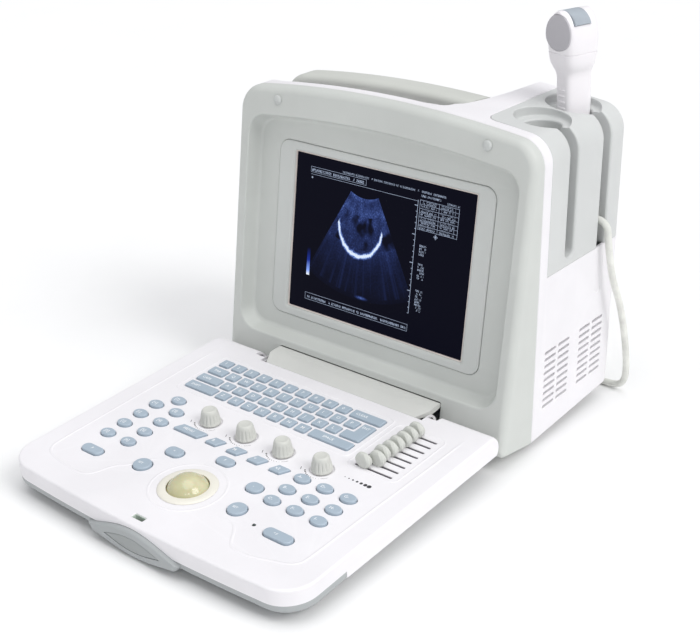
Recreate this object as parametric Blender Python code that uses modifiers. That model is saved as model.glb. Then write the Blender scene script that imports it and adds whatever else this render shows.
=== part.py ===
"""Portable B-mode ultrasound scanner with a fold-down control panel.

Metres, +Z up, the object stands on z = 0 and its front faces -Y.
The origin is the middle of the footprint at the standing surface.
Dimensions are written in millimetres in a design frame (y = 0 at the
rear reference line of the control panel, z = 0 at the lowest edge of
the casing) and turned into metres by `P` and `to_m`.
"""
import bpy
import bmesh
import math
from mathutils import Matrix, Vector

# ---------------------------------------------------------------- dimensions
FRAME_Y = 35.25           # design frame -> object frame, along Y
STAND_Z = 6.0             # height of the casing's lowest edge above the table
GAP = 0.3                 # clearance kept between touching pieces

BODY_HALF_W = 168.0       # casing half width
ARCH_TOP = 303.0          # crown of the arched top
ARCH_DIV = 2340.0         # drop of the arch = x^2 / ARCH_DIV
ARCH_R = 25.0             # corner radius between side and arch
BEZEL_BACK_Y = 64.2       # bezel ends, main housing starts 0.6 further back
REAR_Y = 208.0
TILT = math.radians(7.76)     # screen and bezel face lean back
LCD_C = (0.0, 48.46, 157.04)  # centre of the screen plane
RIM_D = 15.0                  # bezel face in front of the screen plane
WALL = 3.0

KEY_TILT = math.radians(2.56)  # control panel slopes down to the front
KEY_Z0 = 39.43                 # panel surface height at y = 0
KB_HALF_W = 168.5
KB_FRONT = 276.0
KB_CORNER = 30.0
HINGE_V = 3.6                  # hinge axis in panel coordinates
HINGE_H = -13.3
HINGE_R = 13.3

DECK_Z = 256.0                 # floor of the hand recess behind the arch
INSERT = (98.0, 77.5, 166.0)   # x, y, z where the probe holder starts
CUP_X = 131.0
CUP_Y = (118.5, 172.0)
SLOT_Y = (114.5, 172.5)
CUP_R = 17.2
DISH_R = 25.5
DISH_Z = 288.5
CUP_FLOOR = 178.0

KNOB_U = (-57.0, -13.0, 31.0, 75.5)
KNOB_V = 125.0
SLIDER_V = (36.4, 45.8, 55.2, 64.5, 73.8, 83.0, 92.4, 101.5)
SLIDER_U = (110.9, 110.9, 110.9, 110.2, 110.0, 108.6, 110.8, 102.7)
SLOT_U = (93.0, 132.5)
BALL = (0.0, 211.0, -8.5)      # trackball centre u, v, h
BALL_R = 20.0
FAN_C = (-92.0, 150.0)         # fan centre x, z

# ---------------------------------------------------------------- start clean
for old in list(bpy.data.objects):
    bpy.data.objects.remove(old, do_unlink=True)
for data in (bpy.data.meshes, bpy.data.curves, bpy.data.materials):
    for item in list(data):
        data.remove(item)

scene = bpy.context.scene
PARTS = bpy.data.collections.new("ultrasound_scanner")
CUTTERS = bpy.data.collections.new("cutters")
scene.collection.children.link(PARTS)
scene.collection.children.link(CUTTERS)
CUTTERS.hide_render = True


def P(x, y, z):
    """Design millimetres to object metres."""
    return Vector((x, y + FRAME_Y, z + STAND_Z)) / 1000.0


TO_OBJECT = Matrix.Translation(Vector((0, FRAME_Y, STAND_Z)) / 1000.0)
PANEL = TO_OBJECT @ Matrix.Translation((0, 0, KEY_Z0 / 1000)) @ Matrix.Rotation(KEY_TILT, 4, "X")
SCREEN = (TO_OBJECT @ Matrix.Translation(Vector(LCD_C) / 1000)
          @ Matrix.Rotation(math.pi / 2 - TILT, 4, "X"))


# ---------------------------------------------------------------- materials
def material(name, rgb, rough=0.5, metal=0.0):
    mat = bpy.data.materials.new(name)
    mat.use_nodes = True
    bsdf = mat.node_tree.nodes["Principled BSDF"]
    bsdf.inputs["Base Color"].default_value = (*rgb, 1.0)
    bsdf.inputs["Roughness"].default_value = rough
    bsdf.inputs["Metallic"].default_value = metal
    mat.diffuse_color = (*rgb, 1.0)
    return mat


def tinted(name, base, rough=0.5, metal=0.0):
    return material(name, base, rough, metal)


WHITE = (0.80, 0.78, 0.80)
BEZEL = (0.44, 0.47, 0.45)
HOLDER = (0.56, 0.58, 0.58)
PALE = (0.55, 0.57, 0.54)
KEYBLUE = (0.29, 0.40, 0.48)
DARK = (0.03, 0.03, 0.035)
STEEL = (0.55, 0.56, 0.58)


# ---------------------------------------------------------------- mesh helpers
def link(obj, cutter=False):
    (CUTTERS if cutter else PARTS).objects.link(obj)
    if cutter:
        obj.hide_render = True
        obj.display_type = "WIRE"
    return obj


def from_bmesh(name, bm, matrix=None, mat=None, cutter=False, origin=None, smooth=True):
    """Mesh object from bmesh in millimetres. `matrix` places its frame;
    `origin` (in that frame, mm) becomes the object's own origin."""
    bmesh.ops.recalc_face_normals(bm, faces=bm.faces)
    if origin is not None:
        bmesh.ops.translate(bm, verts=bm.verts, vec=-Vector(origin))
    bmesh.ops.scale(bm, verts=bm.verts, vec=(0.001, 0.001, 0.001))
    mesh = bpy.data.meshes.new(name)
    bm.to_mesh(mesh)
    bm.free()
    if smooth:
        mesh.shade_smooth()
        mesh.set_sharp_from_angle(angle=math.radians(35))
    obj = bpy.data.objects.new(name, mesh)
    place = matrix if matrix is not None else TO_OBJECT
    if origin is not None:
        place = place @ Matrix.Translation(Vector(origin) / 1000)
    obj.matrix_world = place
    if mat is not None:
        mesh.materials.append(mat)
    return link(obj, cutter)


def add_loft(bm, rings, cap=True):
    rows = [[bm.verts.new(p) for p in ring] for ring in rings]
    n = len(rows[0])
    for a, b in zip(rows, rows[1:]):
        for i in range(n):
            j = (i + 1) % n
            bm.faces.new((a[i], a[j], b[j], b[i]))
    if cap:
        bm.faces.new(rows[0][::-1])
        bm.faces.new(rows[-1])


def loft(name, rings, **kw):
    bm = bmesh.new()
    add_loft(bm, rings)
    return from_bmesh(name, bm, **kw)


def prism(name, outline, axis, a, b, **kw):
    """Outline of 2-D points pushed along one axis from a to b.
    axis X: points are (y, z); axis Y: (x, z); axis Z: (x, y)."""
    def lift(p, t):
        return {"X": (t, p[0], p[1]), "Y": (p[0], t, p[1]), "Z": (p[0], p[1], t)}[axis]
    return loft(name, [[lift(p, a) for p in outline], [lift(p, b) for p in outline]], **kw)


def add_box(bm, lo, hi):
    ring = [(lo[0], lo[1]), (hi[0], lo[1]), (hi[0], hi[1]), (lo[0], hi[1])]
    add_loft(bm, [[(x, y, lo[2]) for x, y in ring], [(x, y, hi[2]) for x, y in ring]])


def box(name, lo, hi, bevel=0.0, segments=2, **kw):
    bm = bmesh.new()
    bmesh.ops.create_cube(bm, size=1.0)
    for v in bm.verts:
        v.co = Vector([lo[i] if v.co[i] < 0 else hi[i] for i in range(3)])
    obj = from_bmesh(name, bm, **kw)
    if bevel:
        add_bevel(obj, bevel, segments)
    return obj


def add_bevel(obj, width, segments=2, angle=40):
    mod = obj.modifiers.new("edge_rounding", "BEVEL")
    mod.width = width / 1000
    mod.segments = segments
    mod.limit_method = "ANGLE"
    mod.angle_limit = math.radians(angle)
    mod.use_clamp_overlap = True
    return obj


def arc(cx, cy, r, a0, a1, n):
    """n+1 points from angle a0 to a1 (degrees)."""
    return [(cx + r * math.cos(math.radians(a0 + (a1 - a0) * i / n)),
             cy + r * math.sin(math.radians(a0 + (a1 - a0) * i / n))) for i in range(n + 1)]


def rounded_rect(x0, y0, x1, y1, r, n=3):
    return (arc(x0 + r, y0 + r, r, 180, 270, n) + arc(x1 - r, y0 + r, r, 270, 360, n)
            + arc(x1 - r, y1 - r, r, 0, 90, n) + arc(x0 + r, y1 - r, r, 90, 180, n))


def ellipse(cx, cy, rx, ry, n):
    return [(cx + rx * math.cos(2 * math.pi * i / n), cy + ry * math.sin(2 * math.pi * i / n))
            for i in range(n)]


def boolean(obj, other, how="DIFFERENCE", solver="EXACT"):
    mod = obj.modifiers.new(how.lower() + "_" + other.name, "BOOLEAN")
    mod.operation = how
    mod.object = other
    mod.solver = solver
    return obj


def turned(name, profile, matrix, origin, mat, steps=24, cutter=False):
    """Profile of (radius, height) points, top to bottom on the outer side,
    turned about local Z with a Screw modifier."""
    bm = bmesh.new()
    verts = [bm.verts.new((r / 1000, 0, h / 1000)) for r, h in profile]
    for a, b in zip(verts, verts[1:]):
        bm.edges.new((a, b))
    if profile[0][0] > 1e-6:          # a ring: close the profile
        bm.edges.new((verts[-1], verts[0]))
    mesh = bpy.data.meshes.new(name)
    bm.to_mesh(mesh)
    bm.free()
    obj = bpy.data.objects.new(name, mesh)
    obj.matrix_world = matrix @ Matrix.Translation(Vector(origin) / 1000)
    mod = obj.modifiers.new("turn", "SCREW")
    mod.axis = "Z"
    mod.steps = steps
    mod.render_steps = steps
    mod.use_merge_vertices = True
    mod.merge_threshold = 0.00005
    mod.use_smooth_shade = True
    if mat is not None:
        mesh.materials.append(mat)
    return link(obj, cutter)


# ---------------------------------------------------------------- outlines
def arch_z(x, inset=0.0):
    return ARCH_TOP - x * x / ARCH_DIV - inset


def arch_outline(inset, zb, corner_n=5, arch_n=8):
    """Casing outline in (x, z), counter-clockwise seen from the front."""
    w = BODY_HALF_W - inset
    r = max(ARCH_R - inset, 3.0)
    lean = 6.5
    ex = w - r + r * math.sin(math.radians(lean))
    zc = arch_z(ex, inset) - r * math.cos(math.radians(lean))
    rb = 4.0
    z0 = zb + inset
    pts = arc(-w + rb, z0 + rb, rb, 180, 270, 2) + arc(w - rb, z0 + rb, rb, 270, 360, 2)
    pts += arc(w - r, zc, r, 0, 90 - lean, corner_n)
    for i in range(1, arch_n):
        x = ex - 2 * ex * i / arch_n
        pts.append((x, arch_z(x, inset)))
    pts += [(-x, z) for x, z in reversed(arc(w - r, zc, r, 0, 90 - lean, corner_n))]
    return pts


def floor_z(y):
    """Lower edge of the casing: rises towards the front lip and the rear."""
    if y < 62:
        return 1.4 + (62 - y) * 0.155 if y > 30 else 6.4 + (30 - y) * 0.22
    return 1.4 + (y - 62) * 0.058


def face_y(z, d=RIM_D):
    """Y of the tilted plane d in front of the screen plane."""
    y0 = LCD_C[1] - d * math.cos(TILT)
    z0 = LCD_C[2] + d * math.sin(TILT)
    return y0 + (z - z0) * math.tan(TILT)


def tilted_ring(s, inset, **kw):
    """Casing outline on the plane s behind the bezel face."""
    ring = []
    for x, z in arch_outline(inset, floor_z(14 + s), **kw):
        ring.append((x, face_y(z, RIM_D - s), z))
    return ring


def flat_ring(y, inset, **kw):
    return [(x, y, z) for x, z in arch_outline(inset, floor_z(y), **kw)]


def recess_outline(u, w0, w1, r, n=3, top_n=6):
    """Opening of the bezel recess in screen-plane (u, w); the top is arched."""
    top = lambda x: w1 - x * x / ARCH_DIV
    pts = arc(-u + r, w0 + r, r, 180, 270, n) + arc(u - r, w0 + r, r, 270, 360, n)
    zc = top(u - r) - r
    pts += arc(u - r, zc, r, 0, 84, n)
    ex = u - r + r * math.sin(math.radians(6))
    for i in range(1, top_n):
        x = ex - 2 * ex * i / top_n
        pts.append((x, top(x)))
    pts += [(-x, z) for x, z in reversed(arc(u - r, zc, r, 0, 84, n))]
    return pts


def panel_outline(inset, v_rear, corner_n=4, front_n=6, rear_r=4.0):
    """Control panel outline in (x, y = -v), counter-clockwise from above."""
    w = KB_HALF_W - inset
    r = KB_CORNER - inset
    front = lambda u: KB_FRONT - inset - u * u / 4600.0
    vc = front(w - r) - r
    rr = min(rear_r, r)
    pts = []
    # front-left corner, front edge, front-right corner
    left = [(-w + r + r * math.cos(math.radians(a)), -(vc) + r * math.sin(math.radians(a)))
            for a in [180 + 86.5 * i / corner_n for i in range(corner_n + 1)]]
    pts += left
    ex = w - r - r * math.sin(math.radians(3.5))
    for i in range(1, front_n):
        u = -ex + 2 * ex * i / front_n
        pts.append((u, -front(u)))
    pts += [(-x, y) for x, y in reversed(left)]
    yr = -v_rear
    pts += arc(w - rr, yr - rr, rr, 0, 90, 2)
    pts += arc(-w + rr, yr - rr, rr, 90, 180, 2)
    return pts


def rear_v(h):
    """Rear edge of the panel follows a cylinder about the hinge."""
    d = h - HINGE_H
    return HINGE_V - math.sqrt(max(HINGE_R ** 2 - d * d, 0.0))


def panel_ring(h, inset, **kw):
    return [(x, y, h) for x, y in panel_outline(inset, rear_v(h) + inset, **kw)]


# ================================================================ front bezel
m_bezel = tinted("bezel_grey", BEZEL, 0.45)
front_bezel = loft("front_bezel", [
    tilted_ring(0.0, 7.0), tilted_ring(0.9, 3.6), tilted_ring(3.2, 1.0),
    tilted_ring(7.0, 0.0), flat_ring(BEZEL_BACK_Y, 0.0)], mat=m_bezel)
recess = []
for d, u, w0, w1, r in ((18.0, 157.0, -112.5, 120.0, 22), (15.0, 156.0, -111.5, 119.0, 21),
                        (12.8, 154.0, -110.0, 117.0, 20), (0.0, 150.0, -104.2, 113.0, 18)):
    recess.append([(x, y, d) for x, y in recess_outline(u, w0, w1, r)])
c_recess = loft("cut_bezel_recess", recess[::-1], matrix=SCREEN, cutter=True)
c_hollow = loft("cut_bezel_hollow", [
    tilted_ring(3.0, 6.4), tilted_ring(7.5, 3.0), flat_ring(BEZEL_BACK_Y + 3, 3.0)], cutter=True)
c_keep = loft("keep_round_recess", [
    [(x, y, d) for x, y in recess_outline(u, w0, w1, r)] for d, u, w0, w1, r in
    ((-WALL, 153.0, -107.2, 116.0, 20), (0.0, 153.4, -107.6, 116.4, 20),
     (16.0, 159.4, -115.4, 121.4, 23))], matrix=SCREEN, cutter=True)
boolean(c_hollow, c_keep)
boolean(front_bezel, c_hollow)
boolean(front_bezel, c_recess)
c_window = prism("cut_bezel_window", rounded_rect(-125, -88, 125, 88, 12, 3), "Z", -20, 5,
                 matrix=SCREEN, cutter=True)
boolean(front_bezel, c_window)
# mouth in the lower front where the hinge tongue swings in
c_mouth = box("cut_bezel_mouth", (-98.8, -10, -20), (98.8, 40, 44.2), cutter=True)
boolean(front_bezel, c_mouth)

# rubber stop dots on the bezel face
m_dot = tinted("dot_grey", PALE, 0.6)
for side, sx in (("left", -1), ("right", 1)):
    w = (284.5 - LCD_C[2] - RIM_D * math.sin(TILT)) / math.cos(TILT)
    turned("stop_dot_" + side, [(0, 2.2), (3.2, 2.0), (4.6, 1.1), (4.8, GAP), (0, GAP)],
           SCREEN, (119 * sx, w, RIM_D), m_dot, steps=12)

# ---------------------------------------------------------------- screen
m_frame = tinted("screen_frame_grey", (0.46, 0.49, 0.47), 0.45)
screen_frame = loft("screen_frame", [
    [(x, y, d) for x, y in rounded_rect(-hw, -hh, hw, hh, r, 3)] for d, hw, hh, r in
    ((-1.8, 124.7, 87.7, 11.7), (0.2, 124.7, 87.7, 11.7), (0.8, 124.0, 87.0, 11))],
    matrix=SCREEN, mat=m_frame)
c_screen = loft("cut_screen_opening", [
    [(x, y, d) for x, y in rounded_rect(-hw, -hh, hw, hh, 1.5, 1)] for d, hw, hh in
    ((-5, 105.6, 79.2), (-0.9, 105.6, 79.2), (2.0, 108.5, 82.1))], matrix=SCREEN, cutter=True)
boolean(screen_frame, c_screen)
box("lcd_screen", (-109, -82.5, -10), (109, 82.5, -2.1), matrix=SCREEN, bevel=0.8, segments=1,
    mat=tinted("lcd_black", (0.01, 0.01, 0.015), 0.2))

# ================================================================ main housing
m_white = tinted("housing_white", WHITE, 0.4)


def housing_outer(name, **kw):
    return loft(name, [flat_ring(BEZEL_BACK_Y + 0.6, 0.0), flat_ring(198, 0.0),
                       flat_ring(204, 1.6), flat_ring(207, 4.2), flat_ring(REAR_Y, 7.5)], **kw)


def tower_plan(grow):
    """Plan of the hand recess, grown by `grow` towards the walls."""
    y0 = 79.5 - grow
    pts = [(-190, y0)]
    pts += [(46 + 10 * math.sin(a) + grow * 0.9, y0 + 12 - 12 * math.cos(a))
            for a in (0, 0.5, 1.0, 1.5)]
    pts += [(63 + grow, 100), (70.9 + grow, 138), (76 + grow, 200), (76 + grow, 230), (-190, 230)]
    return pts


main_housing = housing_outer("main_housing", mat=m_white)
c_cavity = loft("cut_housing_cavity", [flat_ring(55, 3.0), flat_ring(222, 3.0)], cutter=True)
c_deck_keep = prism("keep_deck", tower_plan(3.0), "Z", DECK_Z - 3, 330, cutter=True)
boolean(c_cavity, c_deck_keep)
boolean(main_housing, c_cavity)
c_deck = prism("cut_hand_recess", tower_plan(0.0), "Z", DECK_Z, 330, cutter=True)
boolean(main_housing, c_deck)


def insert_plan(grow):
    x0, y0 = INSERT[0] - grow, INSERT[1] - grow
    r = 13.0
    return arc(x0 + r, y0 + r, r, 180, 270, 4) + [(190, y0), (190, 230), (x0, 230)]


c_pocket = prism("cut_insert_pocket", insert_plan(GAP), "Z", INSERT[2] - GAP, 330, cutter=True)
boolean(main_housing, c_pocket)
# open underside, closed by the base pan
c_under = box("cut_housing_under", (-160, 50, -20), (160, 202, 16), cutter=True)
boolean(main_housing, c_under)
# vent slots on the right side: two blocks of two columns and nine rows
bm = bmesh.new()
for y0 in (81.0, 142.5):
    for col in range(2):
        for row in range(9):
            ya = y0 + col * 23.5
            z = 89.0 - row * 6.85
            add_box(bm, (160, ya, z - 1.3), (176, ya + 19.8, z + 1.3))
c_vents = from_bmesh("cut_side_vents", bm, cutter=True)
boolean(main_housing, c_vents)

# ---------------------------------------------------------------- probe holder
m_holder = tinted("holder_grey", HOLDER, 0.45)
probe_holder = housing_outer("probe_holder", mat=m_holder)
c_plan = prism("keep_insert_plan", insert_plan(0.0), "Z", INSERT[2], 330, cutter=True)
boolean(probe_holder, c_plan, "INTERSECT")
c_inner = loft("cut_holder_inner", [
    [(x, y, z) for x, z in arch_outline(10.0, floor_z(y))] for y in (81.0, 204.6)], cutter=True)
keeps = bmesh.new()
for cy, sy in zip(CUP_Y, SLOT_Y):
    ring = ellipse(CUP_X, cy, CUP_R + 3, CUP_R + 3, 16)
    add_loft(keeps, [[(x, y, CUP_FLOOR - 3) for x, y in ring], [(x, y, 320) for x, y in ring]])
c_cups_keep = from_bmesh("keep_cup_walls", keeps, cutter=True)
keeps = bmesh.new()
for cy, sy in zip(CUP_Y, SLOT_Y):
    add_box(keeps, (CUP_X + 4, sy - 10, 169.5), (190, sy + 10, 320))
c_slots_keep = from_bmesh("keep_slot_walls", keeps, cutter=True)
boolean(c_inner, c_cups_keep)
boolean(c_inner, c_slots_keep)
boolean(probe_holder, c_inner)
bm = bmesh.new()
for cy in CUP_Y:
    ring = ellipse(CUP_X, cy, CUP_R, CUP_R, 20)
    dish = ellipse(CUP_X, cy, DISH_R, DISH_R, 20)
    add_loft(bm, [[(x, y, CUP_FLOOR) for x, y in ring], [(x, y, DISH_Z) for x, y in ring],
                  [(x, y, DISH_Z + 0.01) for x, y in dish], [(x, y, 320) for x, y in dish]])
c_cups = from_bmesh("cut_cups", bm, cutter=True)
boolean(probe_holder, c_cups)
bm = bmesh.new()
for sy in SLOT_Y:
    ring = arc(sy, 180, 7.0, 180, 360, 6) + [(sy + 7.0, 325), (sy - 7.0, 325)]
    add_loft(bm, [[(CUP_X + 6, y, z) for y, z in ring], [(185, y, z) for y, z in ring]])
c_slots = from_bmesh("cut_cable_slots", bm, cutter=True)
boolean(probe_holder, c_slots)

# ---------------------------------------------------------------- carry handle
m_handle = tinted("handle_grey", (0.47, 0.49, 0.46), 0.5)


def handle_ring(y, inset):
    xe = 63 + (y - 100) * 0.21 - GAP
    w = BODY_HALF_W
    r = ARCH_R
    lean = 6.5
    ex = w - r + r * math.sin(math.radians(lean))
    top = lambda x: arch_z(x) - 0.5 - inset
    pts = [(-w + inset * 0.5, DECK_Z + GAP)]
    ri = r - inset
    zc = top(ex) - ri * math.cos(math.radians(lean))
    pts += [(-(w - r) - ri * math.cos(math.radians(a)) * 1.0,
             zc + ri * math.sin(math.radians(a))) for a in (0, 21, 42, 63, 83)]
    for i in range(1, 8):
        x = -ex + (xe + ex) * i / 8
        pts.append((x, top(x)))
    pts.append((xe, top(xe)))
    low = lambda x: arch_z(x) - 22.5 + inset
    pts.append((xe, low(xe)))
    for i in range(1, 6):
        x = xe + (-132 - xe) * i / 6
        pts.append((x, low(x)))
    pts += [(-141 - inset * 0.5, low(-138) - 3), (-145 - inset, low(-138) - 10),
            (-146 - inset, DECK_Z + GAP)]
    return [(x, y, z) for x, z in pts]


carry_handle = loft("carry_handle", [handle_ring(y, i) for y, i in (
    (104, 6.5), (105.2, 3.4), (108, 1.0), (112, 0), (127, 0), (131, 1.0), (133.4, 3.2), (134.6, 6.0))],
    mat=m_handle)

# ---------------------------------------------------------------- rear panel
m_rear = tinted("rear_panel_grey", (0.50, 0.52, 0.51), 0.5)
rear_panel = loft("rear_panel", [flat_ring(198.5, 3.35), flat_ring(201.5, 3.35)], mat=m_rear)
c_rp_deck = prism("cut_rear_panel_deck", tower_plan(3.4), "Z", DECK_Z - 3.4, 330, cutter=True)
boolean(rear_panel, c_rp_deck)
c_rp_insert = box("cut_rear_panel_insert", (INSERT[0] - 0.7, 190, INSERT[2] - 0.7), (190, 210, 330),
                  cutter=True)
boolean(rear_panel, c_rp_insert)
c_rp_low = box("cut_rear_panel_low", (-190, 190, -20), (190, 215, 16.4), cutter=True)
boolean(rear_panel, c_rp_low)
# fan grille: rows of slots inside a circle, inlet and socket openings
bm = bmesh.new()
for row in range(9):
    z = FAN_C[1] - 28 + row * 7
    half = math.sqrt(max(36 ** 2 - (z - FAN_C[1]) ** 2, 0))
    add_box(bm, (FAN_C[0] - half, 190, z - 1.7), (FAN_C[0] - 1.5, 210, z + 1.7))
    add_box(bm, (FAN_C[0] + 1.5, 190, z - 1.7), (FAN_C[0] + half, 210, z + 1.7))
c_grille = from_bmesh("cut_fan_grille", bm, cutter=True)
boolean(rear_panel, c_grille)
bm = bmesh.new()
add_box(bm, (-128.3, 190, 34.7), (-99.7, 210, 55.3))
add_box(bm, (14 - 28.3, 190, 45.7), (14 + 28.3, 210, 74.3))
c_ports = from_bmesh("cut_rear_ports", bm, cutter=True)
boolean(rear_panel, c_ports)

# ---------------------------------------------------------------- base pan and feet
m_pan = tinted("base_grey", (0.42, 0.44, 0.43), 0.55)
pan = [(65.2, floor_z(65.2)), (201, floor_z(201)), (201, floor_z(201) + 6.2), (198, floor_z(198) + 6.2),
       (198, floor_z(198) + 3), (65.2, floor_z(65.2) + 3)]
base_pan = prism("base_pan", pan, "X", -159.7, 159.7, mat=m_pan)
m_rubber = tinted("foot_rubber", (0.05, 0.05, 0.055), 0.8)


def foot_bar(name, y, half_x):
    """Rubber strip across the base, its top following the base's slope."""
    prof = [(y - 7, -STAND_Z), (y + 7, -STAND_Z), (y + 8, -STAND_Z + 1), (y + 8, floor_z(y + 8) - GAP),
            (y - 8, floor_z(y - 8) - GAP), (y - 8, -STAND_Z + 1)]
    return prism(name, prof, "X", -half_x, half_x, mat=m_rubber)


foot_bar("rear_foot", 182, 138)
foot_bar("middle_foot", 84, 138)

# ---------------------------------------------------------------- inner units
m_board = tinted("board_green", (0.03, 0.16, 0.08), 0.5)
main_board = box("main_board", (-150, 70, 84), (-40, 190, 85.6), mat=m_board, smooth=False)
bm = bmesh.new()
for x0, y0, x1, y1, hgt in ((-140, 82, -112, 110, 4), (-104, 80, -84, 100, 3), (-78, 82, -50, 102, 9),
                            (-138, 122, -124, 176, 6), (-112, 118, -76, 154, 5), (-66, 116, -50, 180, 11)):
    add_box(bm, (x0, y0, 85.0), (x1, y1, 85.6 + hgt))
u_chips = from_bmesh("join_board_parts", bm, cutter=True)
boolean(main_board, u_chips, "UNION")
box("power_supply", (-62, 90, 12), (24, 178, 62), bevel=1.5, segments=1,
    mat=tinted("supply_steel", STEEL, 0.4, 0.8))

fx, fz = FAN_C
fan_frame = box("fan_frame", (fx - 40, 178.2, fz - 40), (fx + 40, 198.2, fz + 40), bevel=3, segments=2,
                mat=tinted("fan_black", (0.03, 0.03, 0.03), 0.5))
bm = bmesh.new()
ring = ellipse(fx, fz, 37.5, 37.5, 28)
add_loft(bm, [[(x, 170, z) for x, z in ring], [(x, 194.7, z) for x, z in ring]])
c_fan = from_bmesh("cut_fan_bore", bm, cutter=True)
boolean(fan_frame, c_fan)
bm = bmesh.new()
for k in range(4):          # openings behind the rotor leave four struts and a motor seat
    a0 = math.radians(k * 90 + 8)
    a1 = math.radians(k * 90 + 82)
    inner = [(fx + 15 * math.cos(a0 + (a1 - a0) * i / 4), fz + 15 * math.sin(a0 + (a1 - a0) * i / 4)) for i in range(5)]
    outer = [(fx + 36 * math.cos(a0 + (a1 - a0) * i / 6), fz + 36 * math.sin(a0 + (a1 - a0) * i / 6)) for i in range(7)]
    pts = inner[::-1] + outer
    add_loft(bm, [[(x, 190, z) for x, z in pts], [(x, 204, z) for x, z in pts]])
c_fan2 = from_bmesh("cut_fan_openings", bm, cutter=True)
boolean(fan_frame, c_fan2)

# rotor: hub with seven twisted blades, turning about Y
FAN_AXIS = TO_OBJECT @ Matrix.Translation(Vector((fx, 186.0, fz)) / 1000) @ Matrix.Rotation(math.radians(90), 4, "X")
m_rotor = tinted("rotor_black", (0.04, 0.04, 0.045), 0.45)
bm = bmesh.new()
hub = ellipse(0, 0, 13.5, 13.5, 24)
add_loft(bm, [[(x, y, -8.2) for x, y in hub], [(x, y, 5.6) for x, y in hub],
              [(x * 0.9, y * 0.9, 6.6) for x, y in hub]])
fan_rotor = from_bmesh("fan_rotor", bm, matrix=FAN_AXIS, mat=m_rotor)
bm = bmesh.new()
for k in range(7):
    base = 2 * math.pi * k / 7
    rings = []
    for i in range(4):
        rad = 12.0 + (35.5 - 12.0) * i / 3
        sweep = base + 0.10 * i
        wid = 0.42 - 0.05 * i
        ring = []
        for s, t in ((-1, -0.6), (1, -0.6), (1, 0.6), (-1, 0.6)):
            ang = sweep + s * wid * 0.8
            ring.append((rad * math.cos(ang), rad * math.sin(ang), s * 4.6 + t))
        rings.append(ring)
    add_loft(bm, rings)
u_blades = from_bmesh("join_fan_blades", bm, matrix=FAN_AXIS, cutter=True, smooth=False)
boolean(fan_rotor, u_blades, "UNION")

m_inlet = tinted("inlet_black", (0.03, 0.03, 0.035), 0.5)
power_inlet = box("power_inlet", (-131, 201.8, 31.5), (-97, 204.8, 58.5), bevel=1.2, segments=1, mat=m_inlet)
c_inbody = box("join_inlet_body", (-127.8, 176, 35.2), (-100.2, 202.5, 54.8), cutter=True)
boolean(power_inlet, c_inbody, "UNION")
c_insock = prism("cut_inlet_socket", [(-125.5, 41), (-121, 37.6), (-107, 37.6), (-102.5, 41), (-102.5, 52.4), (-125.5, 52.4)],
                 "Y", 187, 215, cutter=True)
boolean(power_inlet, c_insock)
bm = bmesh.new()
for x in (-119.5, -114, -108.5):
    add_box(bm, (x - 1, 186.5, 43), (x + 1, 200, 47.5))
u_pins = from_bmesh("join_inlet_pins", bm, cutter=True)
boolean(power_inlet, u_pins, "UNION")

SOCK = (14.0, 60.0)
m_sock = tinted("socket_grey", (0.16, 0.17, 0.18), 0.45)
probe_socket = box("probe_socket", (SOCK[0] - 32, 201.8, 42), (SOCK[0] + 32, 204.6, 78), bevel=1.0, segments=1, mat=m_sock)
c_sbody = box("join_socket_body", (SOCK[0] - 28, 184, 46), (SOCK[0] + 28, 202.5, 74), cutter=True)
boolean(probe_socket, c_sbody, "UNION")
c_swell = box("cut_socket_well", (SOCK[0] - 24, 192, 50), (SOCK[0] + 24, 215, 70), cutter=True)
boolean(probe_socket, c_swell)

# ================================================================ control panel
hinge_axis = bpy.data.objects.new("panel_hinge_axis", None)
hinge_axis.empty_display_type = "ARROWS"
hinge_axis.empty_display_size = 0.03
PARTS.objects.link(hinge_axis)
HINGE = PANEL @ Matrix.Translation((0, -HINGE_V / 1000, HINGE_H / 1000))
hinge_axis.matrix_world = HINGE


def on_panel(obj):
    """Hangs a piece on the hinge axis without moving it."""
    world = obj.matrix_world.copy()
    obj.parent = hinge_axis
    obj.matrix_parent_inverse = Matrix.Identity(4)
    obj.matrix_basis = HINGE.inverted() @ world
    return obj


m_cover = tinted("panel_white", WHITE, 0.4)
top_cover = on_panel(loft("keyboard_top_cover", [
    panel_ring(0, 4.2), panel_ring(-1.0, 1.5), panel_ring(-3.8, 0.0), panel_ring(-8.5, 0.0),
    panel_ring(-13.3, 0.0), panel_ring(-17.5, 0.0), panel_ring(-20.3, 0.0)],
    matrix=PANEL, mat=m_cover))
c_tc_in = loft("cut_cover_inside", [
    panel_ring(-2.6, 6.0), panel_ring(-5.0, 2.7), panel_ring(-9.0, 2.6), panel_ring(-13.3, 2.6),
    panel_ring(-17.5, 2.6), panel_ring(-21.5, 2.6)], matrix=PANEL, cutter=True)
on_panel(c_tc_in)
boolean(top_cover, c_tc_in)
c_skirt = on_panel(prism("cut_front_skirt", [(-207, -14.0), (-207, -40), (-300, -40), (-300, -18.2), (-262, -16.2)],
                         "X", -190, 190, matrix=PANEL, cutter=True))
boolean(top_cover, c_skirt)


def swell(grow, front, inset=0.0):
    """Outline of the grey grip swell at the panel's front, in (u, h)."""
    pts = []
    n = 10
    for i in range(n + 1):
        t = -1 + 2 * i / n
        pts.append((t * (54 + grow - inset), -17.6 + (12.8 + grow - inset) * (math.cos(t * math.pi / 2) ** 1.3) + grow * 0))
    for i in range(n + 1):
        t = 1 - 2 * i / n
        pts.append((t * (50 + grow - inset), -23.5 - (8.6 + grow - inset) * (math.cos(t * math.pi / 2) ** 1.1)))
    return [(u, -front, h) for u, h in pts]


c_swell_cut = on_panel(loft("cut_swell", [swell(0.4, 176), swell(0.4, 300)], matrix=PANEL, cutter=True))
boolean(top_cover, c_swell_cut)

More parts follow.
